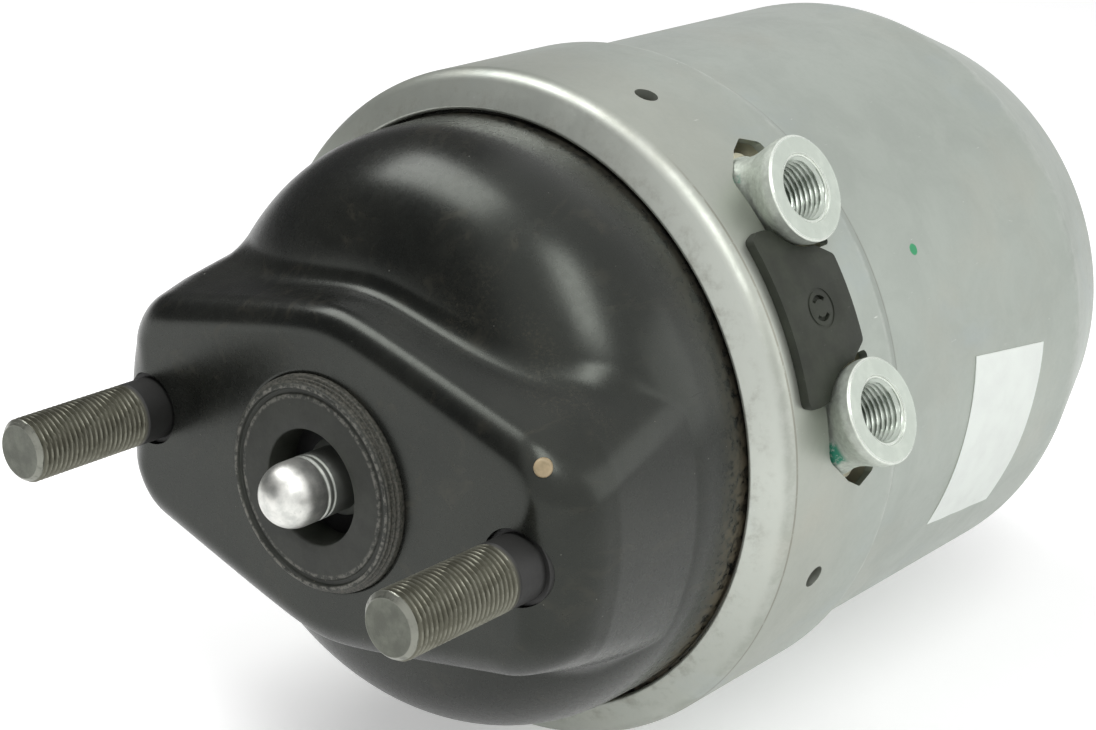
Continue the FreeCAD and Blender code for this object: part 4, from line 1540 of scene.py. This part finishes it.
# lamps: place, target, size, power in watts, and turn about their own direction
lamps = {
    "leftSoftbox": ((-0.62, -0.10, 1.06), (0, 0.05, 0), (0.48, 0.92), 8.0, -36),
    "rightSoftbox": ((0.6, -0.36, 1.04), (0, 0.05, 0), (0.34, 0.8), 5.8, 0),
    "rightFill": ((1.35, 0.75, 0.55), (0, 0.1, 0), (1.2, 1.0), 4.6, 0),
}


# Two masks: where the camera looks directly, and where it looks by way of metal or glass
def cameraRays(board):
    path = board.node("ShaderNodeLightPath", output="Is Camera Ray")
    mirrored = board.beside(path, "Is Glossy Ray").larger(board.beside(path, "Is Transmission Ray"))
    return path, mirrored


def makeFloor():
    half = studio["floorHalf"]
    corners = [(x * half, y * half, studio["floor"] * mm) for x, y in ((-1, -1), (1, -1), (1, 1), (-1, 1))]
    mesh = bpy.data.meshes.new("floor")
    mesh.from_pydata(corners, [], [(0, 1, 2, 3)])
    board = newMaterial("floorPaper")
    colour = board.blend(board.noise(3, 3), *studio["paper"])
    path, mirrored = cameraRays(board)
    glow = board.blend(path.larger(mirrored), (0, 0, 0), studio["glow"])
    further = {"Emission Color": glow, "Emission Strength": 1.0}
    mesh.materials.append(board.finish(colour, 0.9, further=further))
    show("floor", mesh)


def makeLamp(name, place, target, size, power, turn):
    light = bpy.data.lights.new(name, "AREA")
    light.shape = "RECTANGLE"
    light.size, light.size_y = size
    light.energy = power
    lamp = show(name, light)
    lamp.location = place
    aim = (Vector(target) - Vector(place)).to_track_quat("-Z", "Y")
    lamp.rotation_euler = (aim @ Quaternion((0, 0, 1), math.radians(turn))).to_euler()


def makeWorld():
    world = bpy.data.worlds.new("studio")
    bpy.context.scene.world = world
    world.use_nodes = True
    world.node_tree.nodes.clear()
    board = Board(world.node_tree)
    path, mirrored = cameraRays(board)
    looking = board.node("ShaderNodeTexCoord", output="Generated")
    # the studio is dark in front to the left and on the left, which shows only in reflections
    darkEnd, darkSide = (
        board.vector("DOT_PRODUCT", looking, studio[name], "Value").step(*studio[name + "Limits"])
        for name in ("darkEnd", "darkSide")
    )
    lit = 1 - studio["dark"] * darkEnd.larger(darkSide)
    strength = (studio["ambient"] * (1 - mirrored) + lit * mirrored).larger(path)
    shade = board.node("ShaderNodeBackground", None, {"Color": (1, 1, 1), "Strength": strength})
    board.end(shade, "ShaderNodeOutputWorld")


def makeCamera():
    azimuth = math.radians(studio["azimuth"])
    elevation = math.radians(studio["elevation"])
    roll = math.radians(studio["roll"])
    right = Vector((math.cos(azimuth), math.sin(azimuth), 0))
    level = Vector((math.sin(azimuth), -math.cos(azimuth), 0))
    back = level * math.cos(elevation) + Vector((0, 0, math.sin(elevation)))
    up = back.cross(right)
    turnedRight = right * math.cos(roll) + up * math.sin(roll)
    turnedUp = up * math.cos(roll) - right * math.sin(roll)
    camera = show("camera", bpy.data.cameras.new("camera"))
    camera.data.lens = studio["lens"]
    camera.data.sensor_width = 36
    camera.data.clip_start = 0.01
    rows = Matrix((turnedRight, turnedUp, back)).transposed().to_4x4()
    camera.matrix_world = Matrix.Translation(Vector(studio["eye"])) @ rows
    bpy.context.scene.camera = camera


makeFloor()
makeWorld()
for name, values in lamps.items():
    makeLamp(name, *values)
makeCamera()
bpy.context.scene.view_settings.view_transform = "Standard"
print("studio set")
